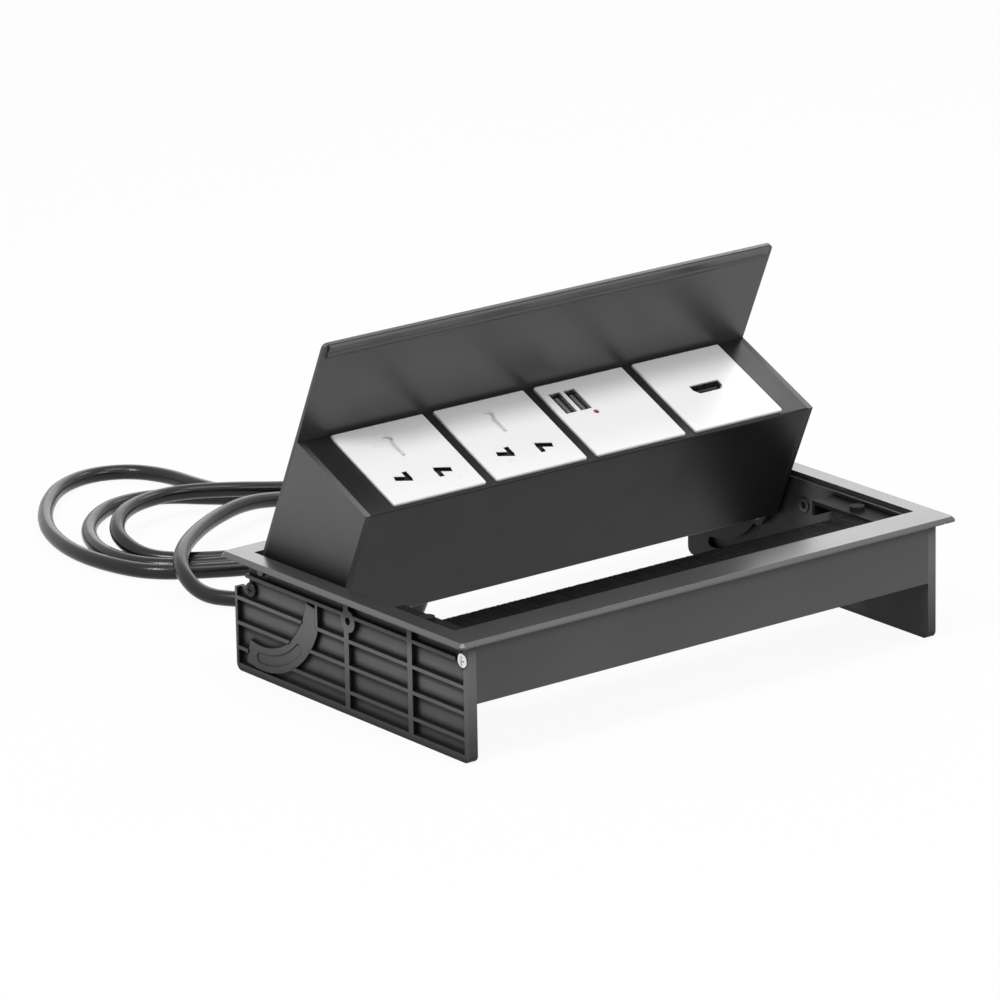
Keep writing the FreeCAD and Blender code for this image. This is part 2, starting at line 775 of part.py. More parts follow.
def socket_base(x):
    """The grey moulding behind a socket's plate, with three pockets for the spring contacts."""
    half = module_body / 2
    middle = module_middle()
    base = box(x - half, x + half, shell_inside, base_back, middle - half, middle + half)
    hollow = half - base_wall
    base = base.cut(box(x - hollow, x + hollow, shell_inside, shell_inside + base_recess,
                        middle - hollow, middle + hollow))
    pocket = contact_size / 2 + pocket_gap
    floor = base_back - base_floor
    for cx, cz in contact_places(x):
        base = base.cut(box(cx - pocket, cx + pocket, shell_inside, floor, cz - pocket, cz + pocket))
        base = base.cut(rod_y(tail_hole_radius, floor, base_back, cx, cz))
    return base


def contact_clip(cx, cz):
    """A brass clip: two leaves that grip the pin, on a back plate with a solder pin."""
    y0 = shell_inside + contact_setback
    y1 = base_back - base_floor
    half = contact_size / 2
    metal = contact_metal
    back = box(cx - half, cx + half, y1 - metal, y1, cz - half, cz + half)
    leaves = [box(cx - half, cx - half + metal, y0, y1, cz - half, cz + half),
              box(cx + half - metal, cx + half, y0, y1, cz - half, cz + half)]
    tail = rod_y(tail_radius, y1, base_back + tail_stand, cx, cz)
    return back.fuse(leaves + [tail]).removeSplitter()


def contact_set(x):
    return Part.makeCompound([contact_clip(cx, cz) for cx, cz in contact_places(x)])


def usb_places(x):
    """The two USB openings stand side by side, on end, near the module's inner top corner."""
    left = x - module_size / 2 + usb_column
    return [(left, module_top - usb_level), (left + usb_pitch, module_top - usb_level)]


def led_place(x):
    return x - module_size / 2 + led_column, module_top - led_level


def usb_plate(x):
    plate = module_blank(x)
    plate = plate.fuse(box(x - module_body / 2, x - module_body / 2 + led_column, face_y, face_y + 0.6,
                           module_top - led_level - 2 * led_radius, module_middle() + module_body / 2))
    plate = plate.fuse(board_posts(x, usb_depth, ((1, 1), (1, -1), (-1, -1))))
    for cx, cz in usb_places(x):
        plate = plate.cut(box(cx - usb_height / 2, cx + usb_height / 2, module_front - 1, shell_inside + 1,
                              cz - usb_width / 2, cz + usb_width / 2))
    led_x, led_z = led_place(x)
    plate = plate.cut(rod_y(led_radius, module_front, shell_inside, led_x, led_z))
    return plate.removeSplitter()


def board_front(depth):
    return module_front + port_setback + depth


def usb_shells(x):
    """Two folded steel receptacle shells, open to the front."""
    shells = []
    y0 = module_front + port_setback
    y1 = board_front(usb_depth)
    for cx, cz in usb_places(x):
        w = usb_height / 2 - port_fit
        h = usb_width / 2 - port_fit
        outer = box(cx - w, cx + w, y0, y1, cz - h, cz + h)
        inner = box(cx - w + sheet_metal, cx + w - sheet_metal, y0, y1 - sheet_metal,
                    cz - h + sheet_metal, cz + h - sheet_metal)
        shells.append(outer.cut(inner))
    return Part.makeCompound(shells)


def usb_tongues(x):
    tongues = []
    thick, tall, setback = usb_tongue
    y1 = board_front(usb_depth) - sheet_metal
    for cx, cz in usb_places(x):
        left = cx + 0.1
        tongues.append(box(left, left + thick, module_front + setback, y1, cz - tall / 2, cz + tall / 2))
    return Part.makeCompound(tongues)


def board(x, depth):
    """A bare circuit board behind a module, and the place (y) of its back."""
    y0 = board_front(depth)
    y1 = y0 + board_thickness
    half = module_body / 2 - board_margin
    return box(x - half, x + half, y0, y1, module_middle() - half, module_middle() + half), y1


def usb_board(x):
    """The charger board, with a coil and a chip on its back."""
    blank, back = board(x, usb_depth)
    middle = module_middle()
    coil = rod_y(coil_radius, back, back + coil_height, x + coil_place, middle - coil_place)
    chip_x = x + chip_place[0]
    chip_z = middle + chip_place[1]
    half = chip_size / 2
    chip = box(chip_x - half, chip_x + half, back, back + chip_height, chip_z - half, chip_z + half)
    return blank.fuse([coil, chip]).removeSplitter()


def board_posts(x, depth, corners):
    """Posts that hold a board off the module's flange, at the corners named by their signs."""
    y1 = board_front(depth)
    inset = module_body / 2 - post_inset
    posts = []
    for across, up in corners:
        posts.append(rod_y(post_radius, face_y, y1, x + across * inset, module_middle() + up * inset))
    return posts


def status_led(x):
    led_x, led_z = led_place(x)
    return rod_y(led_radius - 0.1, module_front + 0.2, board_front(usb_depth), led_x, led_z)


def hdmi_outline(x, shrink, y):
    """The six-sided mouth of the display port, narrower along its lower edge."""
    w = hdmi_width / 2 - shrink
    h = hdmi_height / 2 - shrink
    z = module_middle()
    points = [(-w, h), (w, h), (w, -h * 0.1), (w - 2.0, -h), (-w + 2.0, -h), (-w, -h * 0.1)]
    ring = [Vector(x + px, y, z + pz) for px, pz in points]
    return Part.Face(Part.makePolygon(ring + ring[:1]))


def hdmi_prism(x, shrink, y0, y1):
    return hdmi_outline(x, shrink, y0).extrude(Vector(0, y1 - y0, 0))


def hdmi_plate(x):
    plate = module_blank(x).fuse(board_posts(x, hdmi_depth, ((1, 1), (1, -1), (-1, -1), (-1, 1))))
    return plate.cut(hdmi_prism(x, 0.0, module_front - 1, shell_inside + 1)).removeSplitter()


def hdmi_shell(x):
    y0 = module_front + port_setback
    y1 = board_front(hdmi_depth)
    outer = hdmi_prism(x, port_fit, y0, y1)
    return outer.cut(hdmi_prism(x, port_fit + sheet_metal, y0, y1 - sheet_metal))


def hdmi_tongue(x):
    wide, thick, setback = hdmi_tongue_size
    low = module_middle() - 0.4
    return box(x - wide / 2, x + wide / 2, module_front + setback, board_front(hdmi_depth) - sheet_metal,
               low, low + thick)


def hdmi_board(x):
    """The display board, with the socket for the inner lead on its back."""
    blank, back = board(x, hdmi_depth)
    wide, deep, tall = display_socket
    low = module_middle() - 4.0
    socket = box(x - wide / 2, x + wide / 2, back, back + deep, low, low + tall)
    return blank.fuse(socket).removeSplitter()


# Wiring inside the hub, drawn shut

def bus_bars():
    """Three brass strips that join the two sockets' contact tails; the second stands off behind the first."""
    y0 = base_back + tail_stand
    sockets = module_centres()[:2]
    bars = []
    for offset, level, stand in bar_plan():
        x0 = sockets[0] + offset - bar_width / 2
        x1 = sockets[1] + offset + bar_width / 2
        strip = box(x0, x1, y0 + stand, y0 + stand + bar_thickness,
                    level - bar_width / 2, level + bar_width / 2)
        if stand:
            for x in sockets:
                strip = strip.fuse(rod_y(tail_radius, y0, y0 + stand, x + offset, level))
        elif offset:
            for x in sockets:
                strip = strip.cut(rod_y(bar_clearance, y0, y0 + bar_thickness, x - offset, level))
        bars.append(strip.removeSplitter())
    return Part.makeCompound(bars)


def bar_plan():
    """Sideways offset, level and stand-off of the line, neutral and earth strips."""
    return [(-pin_spread, module_top - pin_level, 0.0), (pin_spread, module_top - pin_level, bar_step),
            (0.0, module_top - earth_level, 0.0)]


def terminal_block():
    """A three-way screw terminal on the back wall of the hub."""
    y0 = terminal_front
    z0 = hub_base + shell_wall
    z1 = z0 + terminal_height
    block = box(terminal_x, terminal_x + terminal_length, y0, y0 + terminal_depth, z0, z1)
    screw_y = y0 + terminal_depth / 2
    wire_end = y0 + terminal_wire_depth
    for which in range(3):
        x = terminal_place(which)
        block = block.cut(rod_y(terminal_wire_hole, y0, wire_end, x, z0 + terminal_height / 2))
        block = block.cut(rod(terminal_screw_hole, Vector(x, screw_y, z1 - terminal_screw_depth),
                              Vector(x, screw_y, z1)))
    return block


def terminal_place(which):
    return terminal_x + terminal_length * (which + 0.5) / 3


def supply_wire(which):
    """One insulated core from the terminal block to its bus bar."""
    y_block = terminal_front + terminal_wire_depth
    z_block = hub_base + shell_wall + terminal_height / 2
    x = terminal_place(which)
    offset, level, stand = bar_plan()[which]
    bar_y = base_back + tail_stand + stand + bar_thickness
    end_x = wire_ends[which]
    middle_y = (y_block + bar_y) / 2
    points = [Vector(x, y_block, z_block), Vector(x, middle_y + 2.0, z_block),
              Vector(end_x, middle_y - 2.0, level), Vector(end_x, bar_y, level)]
    return tube_along(points, wire_radius, 3 * wire_radius)[0]


def cable_gland():
    inner_end = hub_rear - shell_wall - gland_tail
    body = rod_y(gland_radius, inner_end, hub_rear + gland_neck, lead_x, lead_level)
    collar = Part.makeCone(gland_collar, gland_radius, gland_reach, Vector(lead_x, hub_rear, lead_level),
                           Vector(0, 1, 0))
    bore = rod_y(cord_radius + running_gap, inner_end, hub_rear + gland_reach, lead_x, lead_level)
    return body.fuse(collar).cut(bore).removeSplitter()


def gland_nut():
    y1 = hub_rear - shell_wall
    y0 = y1 - nut_thickness
    corners = [math.radians(60 * i) for i in range(6)]
    ring = [Vector(lead_x + nut_radius * math.cos(turn), y0, lead_level + nut_radius * math.sin(turn))
            for turn in corners]
    nut = Part.Face(Part.makePolygon(ring + ring[:1])).extrude(Vector(0, nut_thickness, 0))
    return nut.cut(rod_y(gland_radius, y0, y1, lead_x, lead_level))


# The lead

floor_level = cord_radius + 0.05
over_level = floor_level + 2 * cord_radius + 1.2


def hub_flex():
    """The slack length of the lead between the hub's gland and the clamp on the rear rail."""
    start = opened_point(lead_x, hub_rear - shell_wall - gland_tail, lead_level)
    leave = opened_point(lead_x, hub_rear + gland_reach + 14.0, lead_level)
    low = cord_axis_height
    points = [start, leave, Vector(lead_x, clamp_front - 18.0, low + 4.6),
              Vector(lead_x, clamp_front - 6.5, low), Vector(lead_x, clamp_rear, low)]
    return tube_along(points, cord_radius, 3 * 2 * cord_radius)[0]


def cord_boot():
    """The tapered strain relief behind the clamp."""
    return Part.makeCone(boot_base_radius, boot_tip_radius, boot_length,
                         Vector(lead_x, clamp_rear, cord_axis_height), Vector(0, 1, 0))


def cord_route():
    """The free lead: loose rounds on the floor behind the frame, then the plug."""
    low = floor_level
    high = over_level
    exit_z = cord_axis_height
    plug_z = plug_height / 2
    plan = [(lead_x, boot_end, exit_z), (lead_x, boot_end + 14, exit_z), (-60, 130, low + 1),
            (-71, 141, low), (-79, 156, low), (-77, 173, low + 6), (-65, 189, high + 0.4),
            (-48, 204, high + 0.4), (-29, 217, high), (-6, 227, high), (17, 231, low + 4),
            (41.5, 227.7, low), (59.8, 213.1, low), (66, 194, low), (58.5, 174.5, low),
            (34, 164.6, low), (8, 166, low), (-15, 175.5, low), (-38, 187, low), (-57, 198, low),
            (-68, 212, low + 0.5), (-69, 230, low + 5), (-57, 246, high), (-39, 257, high),
            (-18, 258, high), (2, 246, high), (22, 240, high - 2.6), (45, 232.6, low + 3),
            (66, 223, low), (79, 205, low), (76.7, 183.3, low), (64.2, 161.6, low),
            (40.9, 153.7, low), (11.8, 156.6, low), (-15, 167.5, low), (-40, 179.5, low),
            (-61, 190.5, low), (-75, 206, low), (-77, 230, low), (-68, 253, low),
            (-54, 270, low), (-35, 282, low), (-12, 279, low), (3, 262, low), (21.8, 246.6, low),
            (48.8, 240.1, low), (73, 232, low), (88, 214, low), (90, 190, low), (79.1, 166, low),
            (54.2, 147.8, low), (23.9, 144.4, low), (-5, 153, low), (-34, 168, low),
            (-59, 181, low), (-77, 194, low), (-84, 214, low), (-85.5, 238, low), (-79, 264, low),
            (-68, 285, low), (-53, 304, low), (-37, 318, low), (-18, 324, low), (-1, 317, low),
            (7, 300, low), (8, 281, low), (11, 265, low), (24, 254, low), (46, 249, low),
            (70, 244, low), (92, 234, low), (109, 219, low), (119, 202, low + 4),
            (121, 187, plug_z - 1), (121, 176, plug_z), (121, 166, plug_z)]
    return [Vector(x, y, z) for x, y, z in plan]


def least_gap_to_itself(path, radius):
    """Least air between two stretches of the lead, on points 4 mm apart."""
    step = 4.0
    points = path.discretize(Number=int(path.Length / step))
    skip = int(40.0 / step)
    least = None
    for i in range(len(points)):
        for j in range(i + skip, len(points)):
            gap = (points[i] - points[j]).Length - 2 * radius
            least = gap if least is None else min(least, gap)
    return least


def cord():
    tube, path = tube_along(cord_route(), cord_radius, 3 * 2 * cord_radius)
    print("lead: least gap to itself %.2f" % least_gap_to_itself(path, cord_radius))
    return tube


def plug_start():
    return cord_route()[-1]


def plug_relief():
    start = plug_start()
    return Part.makeCone(boot_tip_radius, boot_base_radius, relief_length, start, Vector(0, -1, 0))


def plug_body():
    """A straight moulded plug with three flat pins, lying flat on the floor."""
    start = plug_start() - Vector(0, relief_length, 0)
    back_half = plug_width / 2 - plug_back_inset
    front_half = plug_width / 2
    shoulder = -plug_length * plug_taper
    outline = [(-back_half, 0), (back_half, 0), (front_half, shoulder), (front_half, -plug_length),
               (-front_half, -plug_length), (-front_half, shoulder)]
    ring = [Vector(start.x + x, start.y + y, 0) for x, y in outline]
    body = Part.Face(Part.makePolygon(ring + ring[:1])).extrude(Vector(0, 0, plug_height))
    uprights = edges_along(body, Vector(0, 0, 1), lambda p: True)
    body = body.makeFillet(plug_corner, uprights)
    middle = plug_height / 2
    rims = [e for e in body.Edges if abs(abs(e.CenterOfMass.z - middle) - middle) < 1e-6]
    return body.makeChamfer(plug_bevel, rims)


def plug_pins():
    """Two slanted line pins and one upright earth pin."""
    start = plug_start()
    y1 = start.y - relief_length - plug_length
    y0 = y1 - plug_pin_length
    middle = plug_height / 2
    wide = plug_pin_width / 2
    thick = plug_pin_thickness / 2
    aside, below = plug_pin_place
    pins = []
    for side in (-1, 1):
        pin = box(start.x - wide, start.x + wide, y0, y1, -thick, thick)
        pin.rotate(Vector(start.x, 0, 0), Vector(0, 1, 0), side * plug_pin_slope)
        pin.translate(Vector(side * aside, 0, middle - below))
        pins.append(pin)
    earth = middle + plug_earth_place
    pins.append(box(start.x - thick, start.x + thick, y0 - 2.0, y1, earth - wide, earth + wide))
    return Part.makeCompound(pins)


def write(name, solid):
    solid.exportStep(os.path.join("parts", name + ".step"))


def main():
    os.makedirs("parts", exist_ok=True)
    plate = end_plate()
    cap = end_cap()
    frame = {
        "bezel": bezel(),
        "front_rail": rail(-1),
        "rear_rail": rail(1),
        "right_end_plate": plate,
        "left_end_plate": mirrored(plate),
        "rail_screws": rail_screws(),
        "side_inserts": side_inserts(),
        "brush_carrier": brush_carrier(),
        "cable_brush": cable_brush(),
        "lid_pads": lid_pads(),
        "pivot_bushes": pivot_bushes(),
        "cable_clamp": cable_clamp(),
        "clamp_screws": clamp_screws(),
        "hub_flex": hub_flex(),
        "cord_boot": cord_boot(),
        "cord": cord(),
        "plug_relief": plug_relief(),
        "plug_body": plug_body(),
        "plug_pins": plug_pins(),
    }
    hub = {
        "lid": lid(),
        "hub_shell": hub_shell(),
        "right_end_cap": cap,
        "left_end_cap": mirrored(cap),
        "cap_screws": cap_screws(),
        "pivot_pins": pivot_pins(),
        "guide_pins": guide_pins(),
        "bus_bars": bus_bars(),
        "terminal_block": terminal_block(),
        "live_wire": supply_wire(0),
        "neutral_wire": supply_wire(1),
        "earth_wire": supply_wire(2),
        "cable_gland": cable_gland(),
        "gland_nut": gland_nut(),
    }
    centres = module_centres()
    for number, x in enumerate(centres[:2], 1):
        hub["socket_plate_%d" % number] = socket_plate(x)
        hub["socket_shutter_%d" % number] = socket_shutter(x)
        hub["shutter_spring_%d" % number] = shutter_spring(x)
        hub["socket_base_%d" % number] = socket_base(x)
        hub["socket_contacts_%d" % number] = contact_set(x)
    usb_x, hdmi_x = centres[2:]
    hub["usb_plate"] = usb_plate(usb_x)
    hub["usb_shells"] = usb_shells(usb_x)
    hub["usb_tongues"] = usb_tongues(usb_x)
    hub["usb_board"] = usb_board(usb_x)
    hub["status_led"] = status_led(usb_x)
    hub["hdmi_plate"] = hdmi_plate(hdmi_x)
    hub["hdmi_shell"] = hdmi_shell(hdmi_x)
    hub["hdmi_tongue"] = hdmi_tongue(hdmi_x)
    hub["hdmi_board"] = hdmi_board(hdmi_x)
    for name, solid in frame.items():
        write(name, solid)
    for name, solid in hub.items():
        write(name, opened(solid))


main()
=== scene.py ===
import itertools
import json
import math
import random

import bmesh
import bpy
from mathutils import Matrix, Vector


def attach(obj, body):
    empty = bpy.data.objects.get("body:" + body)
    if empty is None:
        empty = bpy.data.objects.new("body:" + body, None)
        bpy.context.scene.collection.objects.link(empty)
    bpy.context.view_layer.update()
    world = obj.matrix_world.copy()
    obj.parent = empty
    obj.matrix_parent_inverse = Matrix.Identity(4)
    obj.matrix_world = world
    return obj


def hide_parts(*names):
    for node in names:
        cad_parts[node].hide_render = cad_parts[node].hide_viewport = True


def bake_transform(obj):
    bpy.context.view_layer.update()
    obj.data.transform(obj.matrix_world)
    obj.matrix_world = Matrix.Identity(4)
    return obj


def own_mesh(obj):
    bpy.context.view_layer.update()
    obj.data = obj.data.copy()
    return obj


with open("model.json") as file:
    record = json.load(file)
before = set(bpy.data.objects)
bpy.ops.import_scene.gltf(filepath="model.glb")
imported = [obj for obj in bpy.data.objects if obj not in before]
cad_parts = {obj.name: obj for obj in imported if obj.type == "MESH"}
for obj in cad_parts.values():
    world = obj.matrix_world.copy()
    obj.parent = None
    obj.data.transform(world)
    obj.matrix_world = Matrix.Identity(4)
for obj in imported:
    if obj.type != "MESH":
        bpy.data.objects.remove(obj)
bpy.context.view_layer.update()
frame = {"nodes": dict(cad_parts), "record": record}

random.seed(7)
MM = 0.001
TINY = 1e-7
UP = Vector((0, 0, 1))

# Sizes shared with the solids, in millimetres; those of the hub are for the shut hub
PIVOT = (0.0, 61.5, 44.2)
OPEN = math.radians(-65.5)
PLATE_OUT = 117.1
RAIL_SCREWS = ((-68.4, 40.5, "screw_chrome"), (68.4, 35.0, "screw_black"))
SOCKETS = ((1, -75.0), (2, -25.0))
PIN_LEVEL = 14.5
USB_X = (8.65, 16.05)
USB_LEVEL = 34.7
DISPLAY_X = 75.0
SPRING_FOOT = 6.1
SPRING_HEAD = 16.0
SPRING_DEPTH = 3.0
GLAND_LEVEL = 14.5
CORD_RADIUS = 3.25
LEAD_X = -56.0
LEAD_Z = 7.0
CLAMP_REAR = 75.7
BOOT_END = 101.7
PLUG_X = 121.0
PLUG_BACK = 142.0
PLUG_Z = 12.0

# Heights of the lead's centre line on the floor and over another round, in millimetres
LOW = 3.3
HIGH = 11.0


def opened(point):
    """A point of the shut hub, in millimetres, moved to where it stands open, in metres."""
    pivot = Vector(PIVOT)
    return (Matrix.Rotation(OPEN, 3, "X") @ (Vector(point) - pivot) + pivot) * MM


def link(name, data):
    """A new object, linked to the scene."""
    obj = bpy.data.objects.new(name, data)
    bpy.context.collection.objects.link(obj)
    return obj


# Camera, from a fit to the photograph's edges: degrees, millimetres, metres and pixels

CAMERA_TURN = (-37.53, 17.24, 1.05)
CAMERA_TARGET = (-20.29, 31.56, 60.96)
CAMERA_DISTANCE = 2.76919
FOCAL_PIXELS = 7001.06
PHOTO_PIXELS = 1000.0
SENSOR = 36.0


def make_camera():
    azimuth, elevation, roll = (math.radians(v) for v in CAMERA_TURN)
    target = Vector(CAMERA_TARGET) * MM
    back = Vector((math.sin(azimuth) * math.cos(elevation),
                   -math.cos(azimuth) * math.cos(elevation), math.sin(elevation)))
    right = (-back).cross(UP).normalized()
    down = (-back).cross(right)
    across = math.cos(roll) * right + math.sin(roll) * down
    under = -math.sin(roll) * right + math.cos(roll) * down
    data = bpy.data.cameras.new("camera")
    data.lens = FOCAL_PIXELS * SENSOR / PHOTO_PIXELS
    data.sensor_width = SENSOR
    data.clip_start = 0.05
    data.clip_end = 20.0
    camera = link("camera", data)
    turn = Matrix((across, -under, back)).transposed().to_4x4()
    camera.matrix_world = Matrix.Translation(target + back * CAMERA_DISTANCE) @ turn
    bpy.context.scene.camera = camera


make_camera()


# Mesh helpers

BLOCK_FACES = ((0, 1, 3, 2), (4, 6, 7, 5), (0, 4, 5, 1), (2, 3, 7, 6), (0, 2, 6, 4), (1, 5, 7, 3))
PRISM_FACES = ((0, 1, 2, 3), (7, 6, 5, 4), (0, 4, 5, 1), (1, 5, 6, 2), (2, 6, 7, 3), (3, 7, 4, 0))


def add(name, data, body):
    """A new object, linked to the scene, that rides on a body if one is given."""
    obj = link(name, data)
    if body:
        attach(obj, body)
    return obj


def mesh_from(bm, name, smooth_angle=None):
    """The mesh of a bmesh, with smooth shading up to an angle in degrees."""
    bmesh.ops.recalc_face_normals(bm, faces=bm.faces)
    data = bpy.data.meshes.new(name)
    bm.to_mesh(data)
    bm.free()
    if smooth_angle is not None:
        for polygon in data.polygons:
            polygon.use_smooth = True
        data.set_sharp_from_angle(angle=math.radians(smooth_angle))
    return data


def evaluated_mesh(obj):
    """The mesh that an object's modifiers or curve settings make."""
    bpy.context.view_layer.update()
    graph = bpy.context.evaluated_depsgraph_get()
    return bpy.data.meshes.new_from_object(obj.evaluated_get(graph))


def curve_mesh(name, curve):
    """The mesh of a curve."""
    holder = link(name, curve)
    data = evaluated_mesh(holder)
    bpy.data.objects.remove(holder)
    return data


def lathe(bm, profile, origin, axis, segments=48):
    """Turn a profile of (distance along the axis, radius) pairs round an axis; all in metres."""
    axis = Vector(axis).normalized()
    side = axis.orthogonal().normalized()
    other = axis.cross(side)
    rings = []
    for along, radius in profile:
        centre = Vector(origin) + axis * along
        if radius < TINY:
            rings.append([bm.verts.new(centre)])
            continue
        ring = []
        for i in range(segments):
            angle = 2 * math.pi * i / segments
            out = side * math.cos(angle) + other * math.sin(angle)
            ring.append(bm.verts.new(centre + out * radius))
        rings.append(ring)
    for first, second in zip(rings, rings[1:]):
        for i in range(segments):
            j = (i + 1) % segments
            if len(first) == 1:
                bm.faces.new((first[0], second[j], second[i]))
            elif len(second) == 1:
                bm.faces.new((first[i], first[j], second[0]))
            else:
                bm.faces.new((first[i], first[j], second[j], second[i]))
    for ring, flip in ((rings[0], True), (rings[-1], False)):
        if len(ring) > 1:
            bm.faces.new(ring[::-1] if flip else ring)


def block(bm, low, high, place=lambda p: Vector(p) * MM):
    """An eight-cornered block between two corners in millimetres."""
    verts = [bm.verts.new(place(corner)) for corner in itertools.product(*zip(low, high))]
    for face in BLOCK_FACES:
        bm.faces.new([verts[i] for i in face])


# Cord first: the route repeats the lead's corner points

CORD_ROUTE = [
    (LEAD_X, BOOT_END, LEAD_Z), (LEAD_X, BOOT_END + 14, LEAD_Z), (-60, 130, LOW + 1),
    (-71, 141, LOW), (-79, 156, LOW), (-77, 173, LOW + 6), (-65, 189, HIGH + 0.4),
    (-48, 204, HIGH + 0.4), (-29, 217, HIGH), (-6, 227, HIGH), (17, 231, LOW + 4),
    (41.5, 227.7, LOW), (59.8, 213.1, LOW), (66, 194, LOW), (58.5, 174.5, LOW),
    (34, 164.6, LOW), (8, 166, LOW), (-15, 175.5, LOW), (-38, 187, LOW), (-57, 198, LOW),
    (-68, 212, LOW + 0.5), (-69, 230, LOW + 5), (-57, 246, HIGH), (-39, 257, HIGH),
    (-18, 258, HIGH), (2, 246, HIGH), (22, 240, HIGH - 2.6), (45, 232.6, LOW + 3),
    (66, 223, LOW), (79, 205, LOW), (76.7, 183.3, LOW), (64.2, 161.6, LOW),
    (40.9, 153.7, LOW), (11.8, 156.6, LOW), (-15, 167.5, LOW), (-40, 179.5, LOW),
    (-61, 190.5, LOW), (-75, 206, LOW), (-77, 230, LOW), (-68, 253, LOW), (-54, 270, LOW),
    (-35, 282, LOW), (-12, 279, LOW), (3, 262, LOW), (21.8, 246.6, LOW), (48.8, 240.1, LOW),
    (73, 232, LOW), (88, 214, LOW), (90, 190, LOW), (79.1, 166, LOW), (54.2, 147.8, LOW),
    (23.9, 144.4, LOW), (-5, 153, LOW), (-34, 168, LOW), (-59, 181, LOW), (-77, 194, LOW),
    (-84, 214, LOW), (-85.5, 238, LOW), (-79, 264, LOW), (-68, 285, LOW), (-53, 304, LOW),
    (-37, 318, LOW), (-18, 324, LOW), (-1, 317, LOW), (7, 300, LOW), (8, 281, LOW),
    (11, 265, LOW), (24, 254, LOW), (46, 249, LOW), (70, 244, LOW), (92, 234, LOW),
    (109, 219, LOW), (119, 202, LOW + 4), (PLUG_X, 187, PLUG_Z - 1), (PLUG_X, 176, PLUG_Z),
    (PLUG_X, 166, PLUG_Z)]


def spline_tube(name, points, radius, along=10, around=6):
    """A round tube on a NURBS line, with steps along it and around it.

    The points carry the radius, because a curve's box grows by theirs.
    """
    curve = bpy.data.curves.new(name, "CURVE")
    curve.dimensions = "3D"
    curve.resolution_u = along
    curve.bevel_depth = 1.0
    curve.bevel_resolution = around
    curve.use_fill_caps = True
    spline = curve.splines.new("NURBS")
    spline.points.add(len(points) - 1)
    for point, place in zip(spline.points, points):
        point.co = (*place, 1.0)
        point.radius = radius
    spline.order_u = 3
    spline.use_endpoint_u = True
    return curve


cord = add("supply_cord",
           spline_tube("supply_cord", [Vector(p) * MM for p in CORD_ROUTE], CORD_RADIUS * MM),
           "root_frame")
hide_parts("cord")


def relief(name, node, start, length, rings):
    """A ribbed strain relief along +y: a cone with rounded ribs cut by grooves; in metres."""
    base, tip, brim = 0.0056, 0.0040, 0.0005
    groove_share, groove_depth, steps = 0.46, 0.0009, 8
    profile = [(0.0, base * 0.96), (brim, base)]
    pitch = length / (rings + 1)
    for i in range(rings):
        groove = pitch * (i + 1)
        for k in range(steps + 1):
            along = groove + (k / steps - 0.5) * pitch * groove_share
            cone = base + (tip - base) * along / length
            dip = 0.5 + 0.5 * math.cos(2 * math.pi * (k / steps - 0.5))
            profile.append((along, cone - groove_depth * dip))
    profile += [(length - 0.0006, tip), (length, tip - brim)]
    bm = bmesh.new()
    lathe(bm, profile, Vector(start) * MM, (0, 1, 0))
    obj = add(name, mesh_from(bm, name, 50), "root_frame")
    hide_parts(node)
    return obj


boot = relief("exit_relief", "cord_boot", (LEAD_X, CLAMP_REAR, LEAD_Z), 0.026, 6)
plug_cone = relief("plug_neck", "plug_relief", (PLUG_X, PLUG_BACK, PLUG_Z), 0.024, 5)


def plug_shell():
    """The plug's moulded body, with a waist and finger ribs on both sides; in millimetres."""
    length, waist_half, swell, swell_end, height = 36.0, 11.0, 7.0, 0.45, 12.0
    rib_depth, ribs, edge, squareness = 0.7, 12, 2.0, 0.45
    stations, around = 30, 40
    bm = bmesh.new()
    rings = []
    for i in range(stations + 1):
        t = i / stations
        grow = min(1.0, t / swell_end)
        half = waist_half + swell * grow * grow * (3 - 2 * grow)
        if t < 0.5:
            half -= rib_depth * (0.5 - 0.5 * math.cos(2 * math.pi * t * ribs))
        tall = height
        end = min(t, 1 - t) * length
        if end < edge:
            inset = edge - math.sqrt(max(0.0, edge ** 2 - (edge - end) ** 2))
            half -= inset
            tall -= inset
        y = PLUG_BACK - t * length
        ring = []
        for k in range(around):
            angle = 2 * math.pi * k / around
            c, s = math.cos(angle), math.sin(angle)
            x = half * math.copysign(abs(c) ** squareness, c)
            z = tall * math.copysign(abs(s) ** squareness, s)
            ring.append(bm.verts.new(Vector((PLUG_X + x, y, PLUG_Z + z)) * MM))
        rings.append(ring)
    for first, second in zip(rings, rings[1:]):
        for k in range(around):
            j = (k + 1) % around
            bm.faces.new((first[k], first[j], second[j], second[k]))
    bm.faces.new(rings[0])
    bm.faces.new(rings[-1][::-1])
    obj = add("plug_shell", mesh_from(bm, "plug_shell", 40), "root_frame")
    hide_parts("plug_body")
    return obj


plug = plug_shell()


# Materials: every one is built from nodes, in object coordinates (metres)

BUMP_DEPTH = 0.00005
PATCH_DETAIL = 4.0
FINE_DETAIL = 3.0
GLOSS_PATCH = 3.0
SPECK_GRAIN = 0.6
WEAR_SCALE = 300.0
SPECK_TINT = (2.2, 0.03)
WEAR_TINT = (2.5, 0.05)
# Colour of the painted shade in creases and near other surfaces
PAINTED_SHADE_COLOUR = (0.006, 0.006, 0.006, 1.0)
SPLIT_BLUR = 0.0001

# Direction up the open hub's face, and how far up it the shutters are painted dark as the shade
# behind the line pin holes, in metres
FACE_UP = (0.0, 0.90996, 0.41469)
SHUTTER_SHADE_TOP = 0.0521

# Painted shade, darkening the colour in creases under ribs and where nearby surfaces close in:
# reach in metres, strength, and how open they are where they are darkest
CREASE_SHADE = (0.003, 0.97, 0.66)
PLATE_SHADE = (0.06, 0.90, 0.52)
CAP_SHADE = (0.08, 0.97, 0.68)


